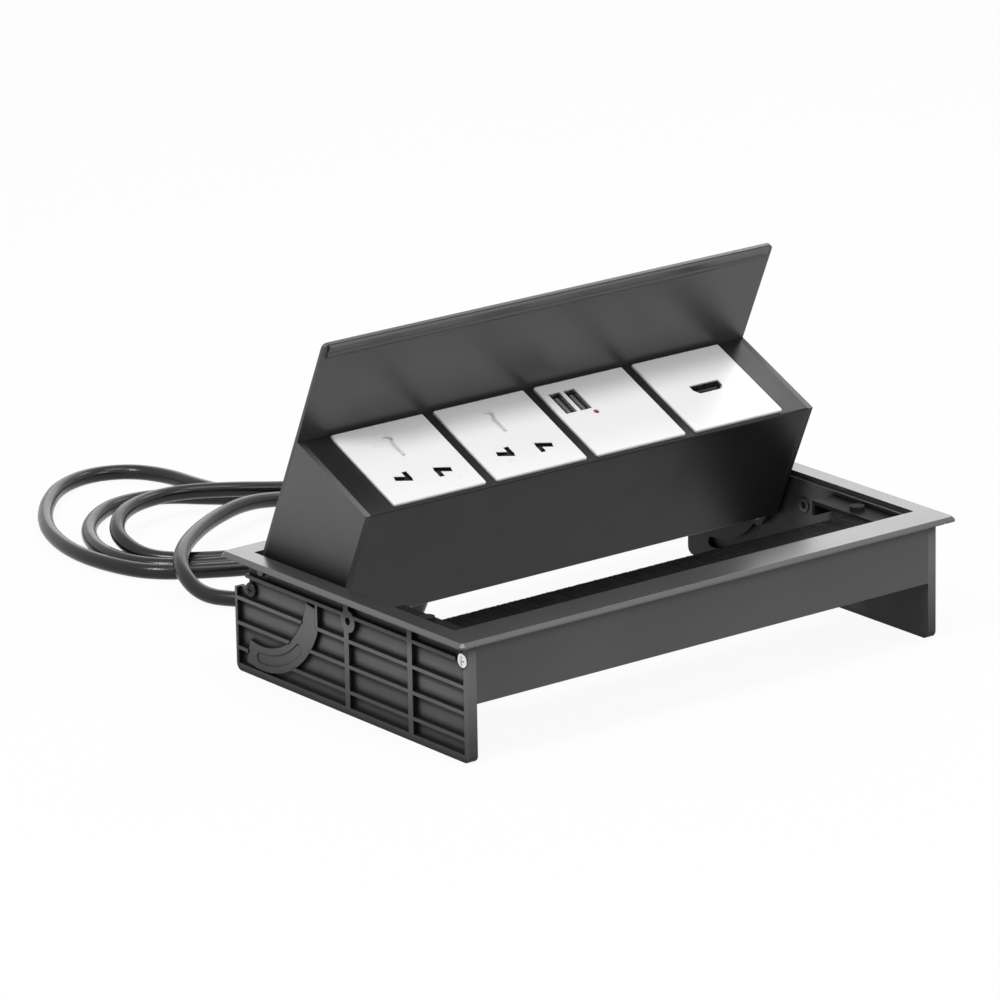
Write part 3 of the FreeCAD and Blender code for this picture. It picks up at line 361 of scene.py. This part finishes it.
def material(name, colour, rough, metallic=0.0, spread=0.08, patch=40.0, grain=2500.0,
             bump=0.02, rough_spread=0.05, edge=0.0, edge_radius=0.0003, coat=0.0,
             coat_rough=0.1, ior=1.5, stretch=None, emission=0.0, speck=0.0, split=None,
             painted_shades=()):
    """A material whose colour and roughness vary, with fine grain and worn edges.

    patch and grain are noise scales, spread and rough_spread the variation over the patches.
    edge is the strength of the worn edges and speck that of the lighter dots. split holds a
    direction, a level along it and the painted shade colour below that level. The painted
    shades darken the colour as painted shade where ambient occlusion finds nearby surfaces.
    """
    mat = bpy.data.materials.new(name)
    mat.use_nodes = True
    nodes, links = mat.node_tree.nodes, mat.node_tree.links
    shader = nodes["Principled BSDF"]
    shader.inputs["Metallic"].default_value = metallic
    shader.inputs["IOR"].default_value = ior
    shader.inputs["Coat Weight"].default_value = coat
    shader.inputs["Coat Roughness"].default_value = coat_rough
    if emission:
        shader.inputs["Emission Color"].default_value = (*colour, 1.0)
        shader.inputs["Emission Strength"].default_value = emission
    place = nodes.new("ShaderNodeTexCoord").outputs["Object"]
    source = place
    if stretch:
        mapping = nodes.new("ShaderNodeMapping")
        mapping.inputs["Scale"].default_value = stretch
        links.new(place, mapping.inputs["Vector"])
        source = mapping.outputs["Vector"]

    def tinted(factor, plus=0.0):
        return (*[min(1.0, c * factor + plus) for c in colour], 1.0)

    def noise(scale, detail, roughness=0.55):
        node = nodes.new("ShaderNodeTexNoise")
        node.inputs["Scale"].default_value = scale
        node.inputs["Detail"].default_value = detail
        node.inputs["Roughness"].default_value = roughness
        links.new(source, node.inputs["Vector"])
        return node.outputs["Fac"]

    def ranged(value, low, high, from_low=0.25, from_high=0.75):
        node = nodes.new("ShaderNodeMapRange")
        node.inputs["From Min"].default_value = from_low
        node.inputs["From Max"].default_value = from_high
        node.inputs["To Min"].default_value = low
        node.inputs["To Max"].default_value = high
        links.new(value, node.inputs["Value"])
        return node.outputs["Result"]

    def filled(socket, value):
        if hasattr(value, "default_value"):
            links.new(value, socket)
        else:
            socket.default_value = value

    def mixed(factor, first, second):
        node = nodes.new("ShaderNodeMix")
        node.data_type = "RGBA"
        for number, value in ((0, factor), (6, first), (7, second)):
            filled(node.inputs[number], value)
        return node.outputs[2]

    def times(first, second):
        node = nodes.new("ShaderNodeMath")
        node.operation = "MULTIPLY"
        filled(node.inputs[0], first)
        filled(node.inputs[1], second)
        return node.outputs[0]

    def dotted(first, second):
        node = nodes.new("ShaderNodeVectorMath")
        node.operation = "DOT_PRODUCT"
        filled(node.inputs[0], first)
        filled(node.inputs[1], second)
        return node.outputs["Value"]

    patches = ranged(noise(patch, PATCH_DETAIL), 0.0, 1.0)
    base = mixed(patches, tinted(1 - spread), tinted(1 + spread))
    if speck:
        dots = noise(grain * SPECK_GRAIN, detail=2.0, roughness=0.7)
        dots = ranged(dots, 0.0, speck, from_low=0.55, from_high=0.75)
        base = mixed(dots, base, tinted(*SPECK_TINT))
    # Painted shade: below the level the colour is the given dark shade colour
    if split:
        way, level, below = split
        above = ranged(dotted(place, way), 0.0, 1.0, level - SPLIT_BLUR, level + SPLIT_BLUR)
        base = mixed(above, (*below, 1.0), base)
    # Painted shade: ambient occlusion darkens the colour in creases and near other surfaces
    for reach, strength, closed in painted_shades:
        occlusion_shade = nodes.new("ShaderNodeAmbientOcclusion")
        occlusion_shade.samples = 8
        occlusion_shade.inputs["Distance"].default_value = reach
        shut = ranged(occlusion_shade.outputs["AO"], strength, 0.0, from_low=closed, from_high=1.0)
        base = mixed(shut, base, PAINTED_SHADE_COLOUR)
    rounded = nodes.new("ShaderNodeBevel")
    rounded.samples = 4
    rounded.inputs["Radius"].default_value = edge_radius
    if edge:
        flat = nodes.new("ShaderNodeNewGeometry")
        turned = dotted(rounded.outputs["Normal"], flat.outputs["Normal"])
        worn = ranged(turned, 1.0, 0.0, from_low=0.90, from_high=0.995)
        broken = times(worn, ranged(noise(WEAR_SCALE, FINE_DETAIL), 0.2, 1.0))
        base = mixed(times(broken, edge), base, tinted(*WEAR_TINT))
    links.new(base, shader.inputs["Base Color"])
    gloss = noise(patch * GLOSS_PATCH, FINE_DETAIL)
    links.new(ranged(gloss, rough - rough_spread, rough + rough_spread),
              shader.inputs["Roughness"])
    grained = nodes.new("ShaderNodeBump")
    grained.inputs["Strength"].default_value = bump
    grained.inputs["Distance"].default_value = BUMP_DEPTH
    links.new(noise(grain, FINE_DETAIL), grained.inputs["Height"])
    links.new(rounded.outputs["Normal"], grained.inputs["Normal"])
    links.new(grained.outputs["Normal"], shader.inputs["Normal"])
    return mat


LOOKS = {
    "lid_paint": dict(colour=(0.042, 0.042, 0.044), rough=0.38, edge=0.20, bump=0.015,
                      grain=3500, patch=14, ior=1.7, spread=0.07, rough_spread=0.02),
    "shell_paint": dict(colour=(0.0115, 0.0115, 0.0125), rough=0.36, edge=0.4, bump=0.04,
                        grain=3500, patch=14, edge_radius=0.0005, ior=1.36, spread=0.10),
    "rim_paint": dict(colour=(0.11, 0.11, 0.113), rough=0.32, edge=0.08, metallic=0.65,
                      bump=0.04, grain=3000, patch=18, ior=1.7, coat=0.45, coat_rough=0.24,
                      rough_spread=0.03),
    "rail_paint": dict(colour=(0.124, 0.124, 0.130), rough=0.42, edge=0.15, bump=0.06,
                       patch=12, spread=0.12, ior=1.4),
    # Painted shade on the end plates: dark lines under the ribs, darker towards the bottom and on
    # the inner faces
    "plate_plastic": dict(colour=(0.37, 0.37, 0.381), rough=0.50, bump=0.22, grain=2200,
                          patch=16, spread=0.10, speck=0.06, ior=1.32,
                          painted_shades=(CREASE_SHADE, PLATE_SHADE)),
    # Painted shade on the end caps: darker towards the bottom
    "cap_plastic": dict(colour=(0.17, 0.17, 0.176), rough=0.46, edge=0.12, bump=0.12,
                        grain=2400, patch=16, spread=0.10, speck=0.08, ior=1.35,
                        painted_shades=(CAP_SHADE,)),
    "dark_plastic": dict(colour=(0.012, 0.012, 0.013), rough=0.55, edge=0.1, bump=0.2,
                         grain=2200, patch=22, spread=0.12, ior=1.2),
    "brush_hair": dict(colour=(0.008, 0.008, 0.008), rough=0.62, bump=0.3, grain=5000,
                       patch=260, spread=0.4, ior=1.15, edge_radius=0.00003),
    "screw_chrome": dict(colour=(0.78, 0.78, 0.80), rough=0.14, metallic=1.0, edge=0.1,
                         bump=0.05, grain=1800, patch=300, spread=0.06, edge_radius=0.0001),
    "screw_dark": dict(colour=(0.10, 0.10, 0.11), rough=0.34, metallic=0.9, edge=0.4,
                       bump=0.1, patch=200, spread=0.2, edge_radius=0.00015),
    "screw_black": dict(colour=(0.03, 0.03, 0.032), rough=0.4, metallic=0.6, edge=0.3,
                        bump=0.1, patch=200, spread=0.2, edge_radius=0.00015),
    "pin_steel": dict(colour=(0.50, 0.50, 0.52), rough=0.26, metallic=1.0, edge=0.2,
                      bump=0.1, grain=900, patch=120, stretch=(1.0, 12.0, 12.0),
                      edge_radius=0.00015),
    "bush_plastic": dict(colour=(0.10, 0.10, 0.10), rough=0.30, bump=0.05, patch=60),
    "pad_rubber": dict(colour=(0.012, 0.012, 0.012), rough=0.75, bump=0.35, grain=2800,
                       patch=120, ior=1.3),
    "cord_rubber": dict(colour=(0.010, 0.010, 0.011), rough=0.24, bump=0.25, grain=1600,
                        patch=45, spread=0.18, ior=1.42, edge_radius=0.0001),
    "plug_plastic": dict(colour=(0.020, 0.020, 0.021), rough=0.42, bump=0.2, grain=2000,
                         edge=0.15),
    "module_white": dict(colour=(0.90, 0.90, 0.895), rough=0.30, bump=0.04, grain=1500,
                         patch=20, spread=0.012, rough_spread=0.04, edge_radius=0.00035),
    # Painted shade: the white shutters are painted dark below the level, as the shade deep in the
    # line pin holes
    "shutter_white": dict(colour=(0.86, 0.86, 0.855), rough=0.45, bump=0.05, patch=60,
                          spread=0.03,
                          split=(FACE_UP, SHUTTER_SHADE_TOP, (0.012, 0.012, 0.012))),
    "base_grey": dict(colour=(0.30, 0.30, 0.31), rough=0.5, bump=0.1, patch=60),
    "contact_brass": dict(colour=(0.72, 0.52, 0.22), rough=0.26, metallic=1.0, bump=0.08,
                          grain=900, patch=150, spread=0.12, edge=0.15,
                          edge_radius=0.00015, stretch=(1.0, 8.0, 1.0)),
    "shell_steel": dict(colour=(0.46, 0.46, 0.48), rough=0.28, metallic=1.0, bump=0.06,
                        grain=1200, patch=200, edge=0.2, edge_radius=0.0001),
    "tongue_white": dict(colour=(0.15, 0.155, 0.145), rough=0.42, bump=0.05, patch=200,
                         spread=0.05, edge_radius=0.0001),
    "tongue_black": dict(colour=(0.022, 0.018, 0.017), rough=0.45, bump=0.1, patch=200,
                         edge_radius=0.0001),
    "board_green": dict(colour=(0.02, 0.14, 0.05), rough=0.35, bump=0.15, grain=900,
                        patch=90, spread=0.2),
    "lamp_red": dict(colour=(0.30, 0.06, 0.08), rough=0.2, patch=400, emission=0.03,
                     edge_radius=0.0001),
    "wire_brown": dict(colour=(0.20, 0.07, 0.03), rough=0.4, bump=0.1, patch=80),
    "wire_blue": dict(colour=(0.03, 0.12, 0.45), rough=0.4, bump=0.1, patch=80),
    "wire_green": dict(colour=(0.18, 0.42, 0.05), rough=0.4, bump=0.1, patch=80),
    "terminal_cream": dict(colour=(0.72, 0.69, 0.58), rough=0.45, bump=0.08, patch=70),
    "gold_plate": dict(colour=(0.85, 0.62, 0.25), rough=0.2, metallic=1.0, bump=0.03,
                       patch=500, edge_radius=0.00005),
}
MATERIALS = {name: material(name, **look) for name, look in LOOKS.items()}
CAD_LOOKS = {
    "lid": "lid_paint", "hub_shell": "shell_paint", "bezel": "rim_paint",
    "front_rail": "rail_paint", "rear_rail": "rail_paint", "left_end_plate": "plate_plastic",
    "right_end_plate": "plate_plastic", "left_end_cap": "cap_plastic",
    "right_end_cap": "cap_plastic", "status_led": "lamp_red", "plug_pins": "contact_brass",
    "side_inserts": "screw_dark", "guide_pins": "screw_dark", "pivot_pins": "screw_dark"}


def dress(obj, name):
    obj.data.materials.clear()
    obj.data.materials.append(MATERIALS[name])


for entry in frame["record"]["subparts"]:
    node = entry["node"]
    dress(frame["nodes"][node], CAD_LOOKS.get(node, entry["material_slot"]))
for piece in (cord, boot, plug_cone):
    dress(piece, "cord_rubber")
dress(plug, "plug_plastic")


# Screws: domed heads with a cross recess

def screw_head(name, place, axis, look):
    """A screw head on a point of the end plate; in metres, the cross in millimetres."""
    radius, height, sharp = 0.0031, 0.0014, 35
    dome_share, flat_share, round_share, steps = 0.62, 0.55, 0.45, 8
    profile = [(-height, radius * 0.92), (-height + 0.0001, radius)]
    for k in range(steps + 1):
        angle = math.radians(90 * k / steps)
        profile.append((-height * dome_share + height * dome_share * math.sin(angle),
                        radius * (flat_share + round_share * math.cos(angle))))
    profile.append((0.0, 0.0))
    bm = bmesh.new()
    lathe(bm, profile, place, axis, 56)
    head = add(name, mesh_from(bm, name, sharp), None)

    arm, slit, mouth, floor = 2.0, 0.42, 0.0003, -0.0011
    way = Vector(axis).normalized()
    turn = Matrix((way, UP.cross(way), UP)).transposed().to_4x4()
    bm = bmesh.new()
    for wide, tall in ((arm, slit), (slit, arm)):
        outer = [(mouth, -wide, -tall), (mouth, wide, -tall), (mouth, wide, tall),
                 (mouth, -wide, tall)]
        inner = [(floor, y * 0.5, z * 0.7) for _, y, z in outer]
        verts = [bm.verts.new(turn @ Vector((x, y * MM, z * MM)) + Vector(place))
                 for x, y, z in outer + inner]
        for face in PRISM_FACES:
            bm.faces.new([verts[i] for i in face])
    cutter = add(name + "_cut", mesh_from(bm, name + "_cut"), None)
    boolean = head.modifiers.new("cross", "BOOLEAN")
    boolean.operation = "DIFFERENCE"
    boolean.solver = "EXACT"
    boolean.use_self = True
    boolean.object = cutter
    finished = evaluated_mesh(head)
    head.modifiers.clear()
    head.data = finished
    finished.set_sharp_from_angle(angle=math.radians(sharp))
    bpy.data.objects.remove(cutter)
    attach(head, "root_frame")
    dress(head, look)
    return head


def rail_screw_heads():
    sink = 0.1
    places = itertools.product((-1, 1), RAIL_SCREWS)
    for number, (side, (y, z, look)) in enumerate(places, 1):
        place = Vector((side * (PLATE_OUT - sink), y, z)) * MM
        head = screw_head("rail_screw_%d" % number, place, (side, 0, 0), look)
        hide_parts("rail_screws")


rail_screw_heads()


# Brush strip: five rows of fine hairs in a holder

def brush():
    half, margin, root, tips = 102.2, 0.2, -55.9, -35.8
    rows, row_shift, hairs_per_row = (44.95, 45.1, 45.25, 45.4, 45.55), 0.2, 1000
    most_lean, shortest, most_droop = 0.20, 0.975, 0.25
    thick, tip_share, corners = 0.15, 0.7, (0.5, 2.6, 4.7)
    bm = bmesh.new()
    for row, level in enumerate(rows):
        for i in range(hairs_per_row):
            x = -half + margin + (2 * half - 2 * margin) * (i + row_shift * row) / hairs_per_row
            lean = random.uniform(-most_lean, most_lean)
            length = random.uniform(shortest, 1.0)
            droop = random.uniform(-most_droop, 0.0)
            start = Vector((x, root, level))
            end = Vector((max(-half, min(half, x + lean)), root + (tips - root) * length,
                          level + droop))
            ring = []
            for centre, scale in ((start, 1.0), (end, tip_share)):
                ring.append([bm.verts.new((centre + Vector((math.cos(a), 0, math.sin(a)))
                                           * thick * scale) * MM) for a in corners])
            for k in range(3):
                j = (k + 1) % 3
                bm.faces.new((ring[0][k], ring[0][j], ring[1][j], ring[1][k]))
            bm.faces.new(ring[0][::-1])
            bm.faces.new(ring[1])
    hairs = add("brush_hairs", mesh_from(bm, "brush_hairs", 60), "root_frame")
    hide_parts("cable_brush")
    dress(hairs, "brush_hair")
    bm = bmesh.new()
    block(bm, (-half, -60.7, 44.8), (half, -55.7, 46.3))
    bmesh.ops.bevel(bm, geom=list(bm.edges), offset=0.0003, segments=2, affect="EDGES",
                    profile=0.6)
    holder = add("brush_holder", mesh_from(bm, "brush_holder", 30), "root_frame")
    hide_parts("cable_brush")
    dress(holder, "dark_plastic")


brush()


# Inside the ports: gold strips on the tongues

def port_contacts():
    usb = bmesh.new()
    low_y, high_y, half, under, over = 2.2, 9.8, 0.5, 0.02, 0.12
    for x in USB_X:
        for dz in (-3.5, -1.0, 1.0, 3.5):
            block(usb, (x + under, low_y, USB_LEVEL + dz - half),
                  (x + over, high_y, USB_LEVEL + dz + half), opened)
    display = bmesh.new()
    low_y, high_y, half, span = 1.7, 8.8, 0.2, 4.5
    for i in range(10):
        x = DISPLAY_X - span + i
        for low, high in ((25.08, 25.16), (24.04, 24.12)):
            block(display, (x - half, low_y, low), (x + half, high_y, high), opened)
    for name, bm in (("usb_contacts", usb), ("display_contacts", display)):
        dress(add(name, mesh_from(bm, name), "hub"), "gold_plate")


port_contacts()


# Painted shade in the line pin holes: a dark sheet a hair proud of the walls that the plate's
# holes have

def painted_hole_shade():
    """The hole walls of each socket plate, copied inwards by a thin step as a closed dark band of
    painted shade.
    """
    thin, hole_offset, hole_reach = 0.00006, 0.0095, 0.0055
    cut_depth, middle_depth, wall_half = 0.05, 0.4, 0.001
    square_on, same_way = 0.01, 0.999
    out = (opened((0, -1, 0)) - opened((0, 0, 0))).normalized()
    across = (opened((0, 0, 1)) - opened((0, 0, 0))).normalized()
    for number, x in SOCKETS:
        plate = frame["nodes"]["socket_plate_%d" % number]
        walls = bmesh.new()
        walls.from_mesh(plate.data)
        walls.transform(plate.matrix_world)
        middle = opened((x, middle_depth, PIN_LEVEL))
        geometry = list(walls.verts) + list(walls.edges) + list(walls.faces)
        bmesh.ops.bisect_plane(walls, geom=geometry, dist=TINY,
                               plane_co=opened((x, cut_depth, PIN_LEVEL)), plane_no=out,
                               clear_outer=True)
        shaded_faces = []
        ways = {}
        for face in walls.faces:
            centre = face.calc_center_median() - middle
            in_hole = (abs(abs(centre.x) - hole_offset) < hole_reach
                       and abs(centre.dot(across)) < hole_reach
                       and abs(centre.dot(out)) <= wall_half)
            if not in_hole or abs(face.normal.dot(out)) > square_on:
                continue
            shaded_faces.append(face)
            for vert in face.verts:
                known = ways.setdefault(vert, [])
                if all(face.normal.dot(way) < same_way for way in known):
                    known.append(face.normal.copy())
        bm = bmesh.new()
        foot, top = {}, {}
        for vert, known in ways.items():
            step = known[0]
            if len(known) > 1:
                step = (known[0] + known[1]) / (1 + known[0].dot(known[1]))
            foot[vert] = bm.verts.new(vert.co)
            top[vert] = bm.verts.new(vert.co + step * thin)
        for face in shaded_faces:
            bm.faces.new([foot[v] for v in reversed(face.verts)])
            bm.faces.new([top[v] for v in face.verts])
            for edge in face.edges:
                if sum(other in shaded_faces for other in edge.link_faces) == 1:
                    first, second = edge.verts
                    bm.faces.new((foot[first], foot[second], top[second], top[first]))
        walls.free()
        # Painted shade: the dark band stands for the shade deep in the holes
        name = "hole_shade_sheet_%d" % number
        dress(add(name, mesh_from(bm, name), "hub"), "dark_plastic")


painted_hole_shade()


# Wound shutter springs

def shutter_springs():
    turns, steps, radius, wire, squashed = 8, 16, 1.42, 0.26, 0.62
    low, high = SPRING_FOOT + wire, SPRING_HEAD - wire
    count = turns * steps
    for number, x in SOCKETS:
        path = []
        for i in range(count + 1):
            angle = 2 * math.pi * turns * i / count
            path.append(opened((x + radius * math.cos(angle),
                                SPRING_DEPTH + radius * math.sin(angle),
                                low + (high - low) * i / count)))
        wound = curve_mesh("spring", spline_tube("spring", path, wire * MM, 2, 2))
        obj = add("wound_spring_%d" % number, wound, "hub")
        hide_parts("shutter_spring_%d" % number)
        dress(obj, "pin_steel")
        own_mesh(obj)


shutter_springs()


# The slack lead between hub and clamp, shaped as it lies with the hub open

def slack_lead():
    gland_end, hub_end, frame_start = 49.6, 62.4, 64.0
    points = [opened((LEAD_X, gland_end, GLAND_LEVEL)), opened((LEAD_X, 76.4, GLAND_LEVEL)),
              Vector((LEAD_X, 48.7, 11.6)) * MM, Vector((LEAD_X, 60.2, LEAD_Z)) * MM,
              Vector((LEAD_X, CLAMP_REAR, LEAD_Z)) * MM]
    tube = curve_mesh("slack", spline_tube("slack", points, CORD_RADIUS * MM))
    obj = add("slack_lead", tube, None)
    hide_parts("hub_flex")
    dress(obj, "cord_rubber")
    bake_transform(obj)


slack_lead()


# Studio

FLOOR_HALF = 4
FLOOR_WHITE = 0.93
FLOOR_SEEN = (0.92, 0.92, 0.92, 1.0)
FLOOR_UNSEEN = (0.16, 0.16, 0.16, 1.0)
WORLD_LIGHT = 0.26
WHITE = (1.0, 1.0, 1.0, 1.0)
LAMP_AIM = (0.0, 0.0, 0.05)

# Lamps as name, place, aim, size in metres and power in watts
LAMPS = (("key", (-1.4, -0.25, 1.83), LAMP_AIM, 0.5, 23.0),
         ("fill", (0.4, -1.9, 1.3), LAMP_AIM, 1.2, 14.8),
         ("top", (-0.1, -0.5, 2.2), LAMP_AIM, 1.2, 12.3),
         ("rear", (1.15, 1.5, 0.75), LAMP_AIM, 1.3, 4.2),
         ("side", (0.72, 0.28, 0.79), (0.1, 0.0, 0.1), 0.3, 1.1))


def ray_is(tree, *kinds):
    """A socket that is 1 for rays of any of these kinds, and else 0."""
    path = tree.nodes.new("ShaderNodeLightPath")
    found = path.outputs[kinds[0]]
    for kind in kinds[1:]:
        greatest = tree.nodes.new("ShaderNodeMath")
        greatest.operation = "MAXIMUM"
        tree.links.new(found, greatest.inputs[0])
        tree.links.new(path.outputs[kind], greatest.inputs[1])
        found = greatest.outputs[0]
    return found


def white_for_camera(tree, shade_socket, strength):
    """Mix a plain white into a shader for the rays that look at it or mirror it."""
    nodes, links = tree.nodes, tree.links
    glow = nodes.new("ShaderNodeEmission")
    glow.inputs["Color"].default_value = WHITE
    glow.inputs["Strength"].default_value = 1.0
    part = nodes.new("ShaderNodeMath")
    part.operation = "MULTIPLY"
    part.inputs[1].default_value = strength
    links.new(ray_is(tree, "Is Camera Ray", "Is Glossy Ray"), part.inputs[0])
    mix = nodes.new("ShaderNodeMixShader")
    links.new(part.outputs[0], mix.inputs[0])
    links.new(shade_socket, mix.inputs[1])
    links.new(glow.outputs[0], mix.inputs[2])
    return mix.outputs[0]


def white_floor():
    """A floor that is white to the camera and keeps the shadow."""
    bm = bmesh.new()
    bm.faces.new([bm.verts.new((x * FLOOR_HALF, y * FLOOR_HALF, 0))
                  for x, y in ((-1, -1), (1, -1), (1, 1), (-1, 1))])
    floor = add("floor", mesh_from(bm, "floor"), None)
    mat = bpy.data.materials.new("floor")
    mat.use_nodes = True
    tree = mat.node_tree
    shader = tree.nodes["Principled BSDF"]
    shader.inputs["Roughness"].default_value = 0.9
    shader.inputs["Specular IOR Level"].default_value = 0.0
    tone = tree.nodes.new("ShaderNodeMix")
    tone.data_type = "RGBA"
    tone.inputs[6].default_value = FLOOR_UNSEEN
    tone.inputs[7].default_value = FLOOR_SEEN
    tree.links.new(ray_is(tree, "Is Camera Ray"), tone.inputs[0])
    tree.links.new(tone.outputs[2], shader.inputs["Base Color"])
    tree.links.new(white_for_camera(tree, shader.outputs[0], FLOOR_WHITE),
                   tree.nodes["Material Output"].inputs["Surface"])
    floor.data.materials.append(mat)


def white_world():
    """A world that is white where it is seen, mirrored or looked through, and dim as light."""
    world = bpy.data.worlds.new("studio")
    bpy.context.scene.world = world
    world.use_nodes = True
    tree = world.node_tree
    background = tree.nodes["Background"]
    background.inputs["Color"].default_value = WHITE
    level = tree.nodes.new("ShaderNodeMapRange")
    level.inputs["To Min"].default_value = WORLD_LIGHT
    level.inputs["To Max"].default_value = 1.0
    seen = ray_is(tree, "Is Camera Ray", "Is Glossy Ray", "Is Transmission Ray")
    tree.links.new(seen, level.inputs["Value"])
    tree.links.new(level.outputs["Result"], background.inputs["Strength"])


def add_lamps():
    for name, place, target, size, power in LAMPS:
        data = bpy.data.lights.new(name, "AREA")
        data.shape = "DISK"
        data.size = size
        data.energy = power
        turn = (Vector(target) - Vector(place)).to_track_quat("-Z", "Y").to_matrix().to_4x4()
        link(name, data).matrix_world = Matrix.Translation(place) @ turn


white_floor()
white_world()
add_lamps()
bpy.context.scene.view_settings.view_transform = "Standard"


bpy.context.view_layer.update()
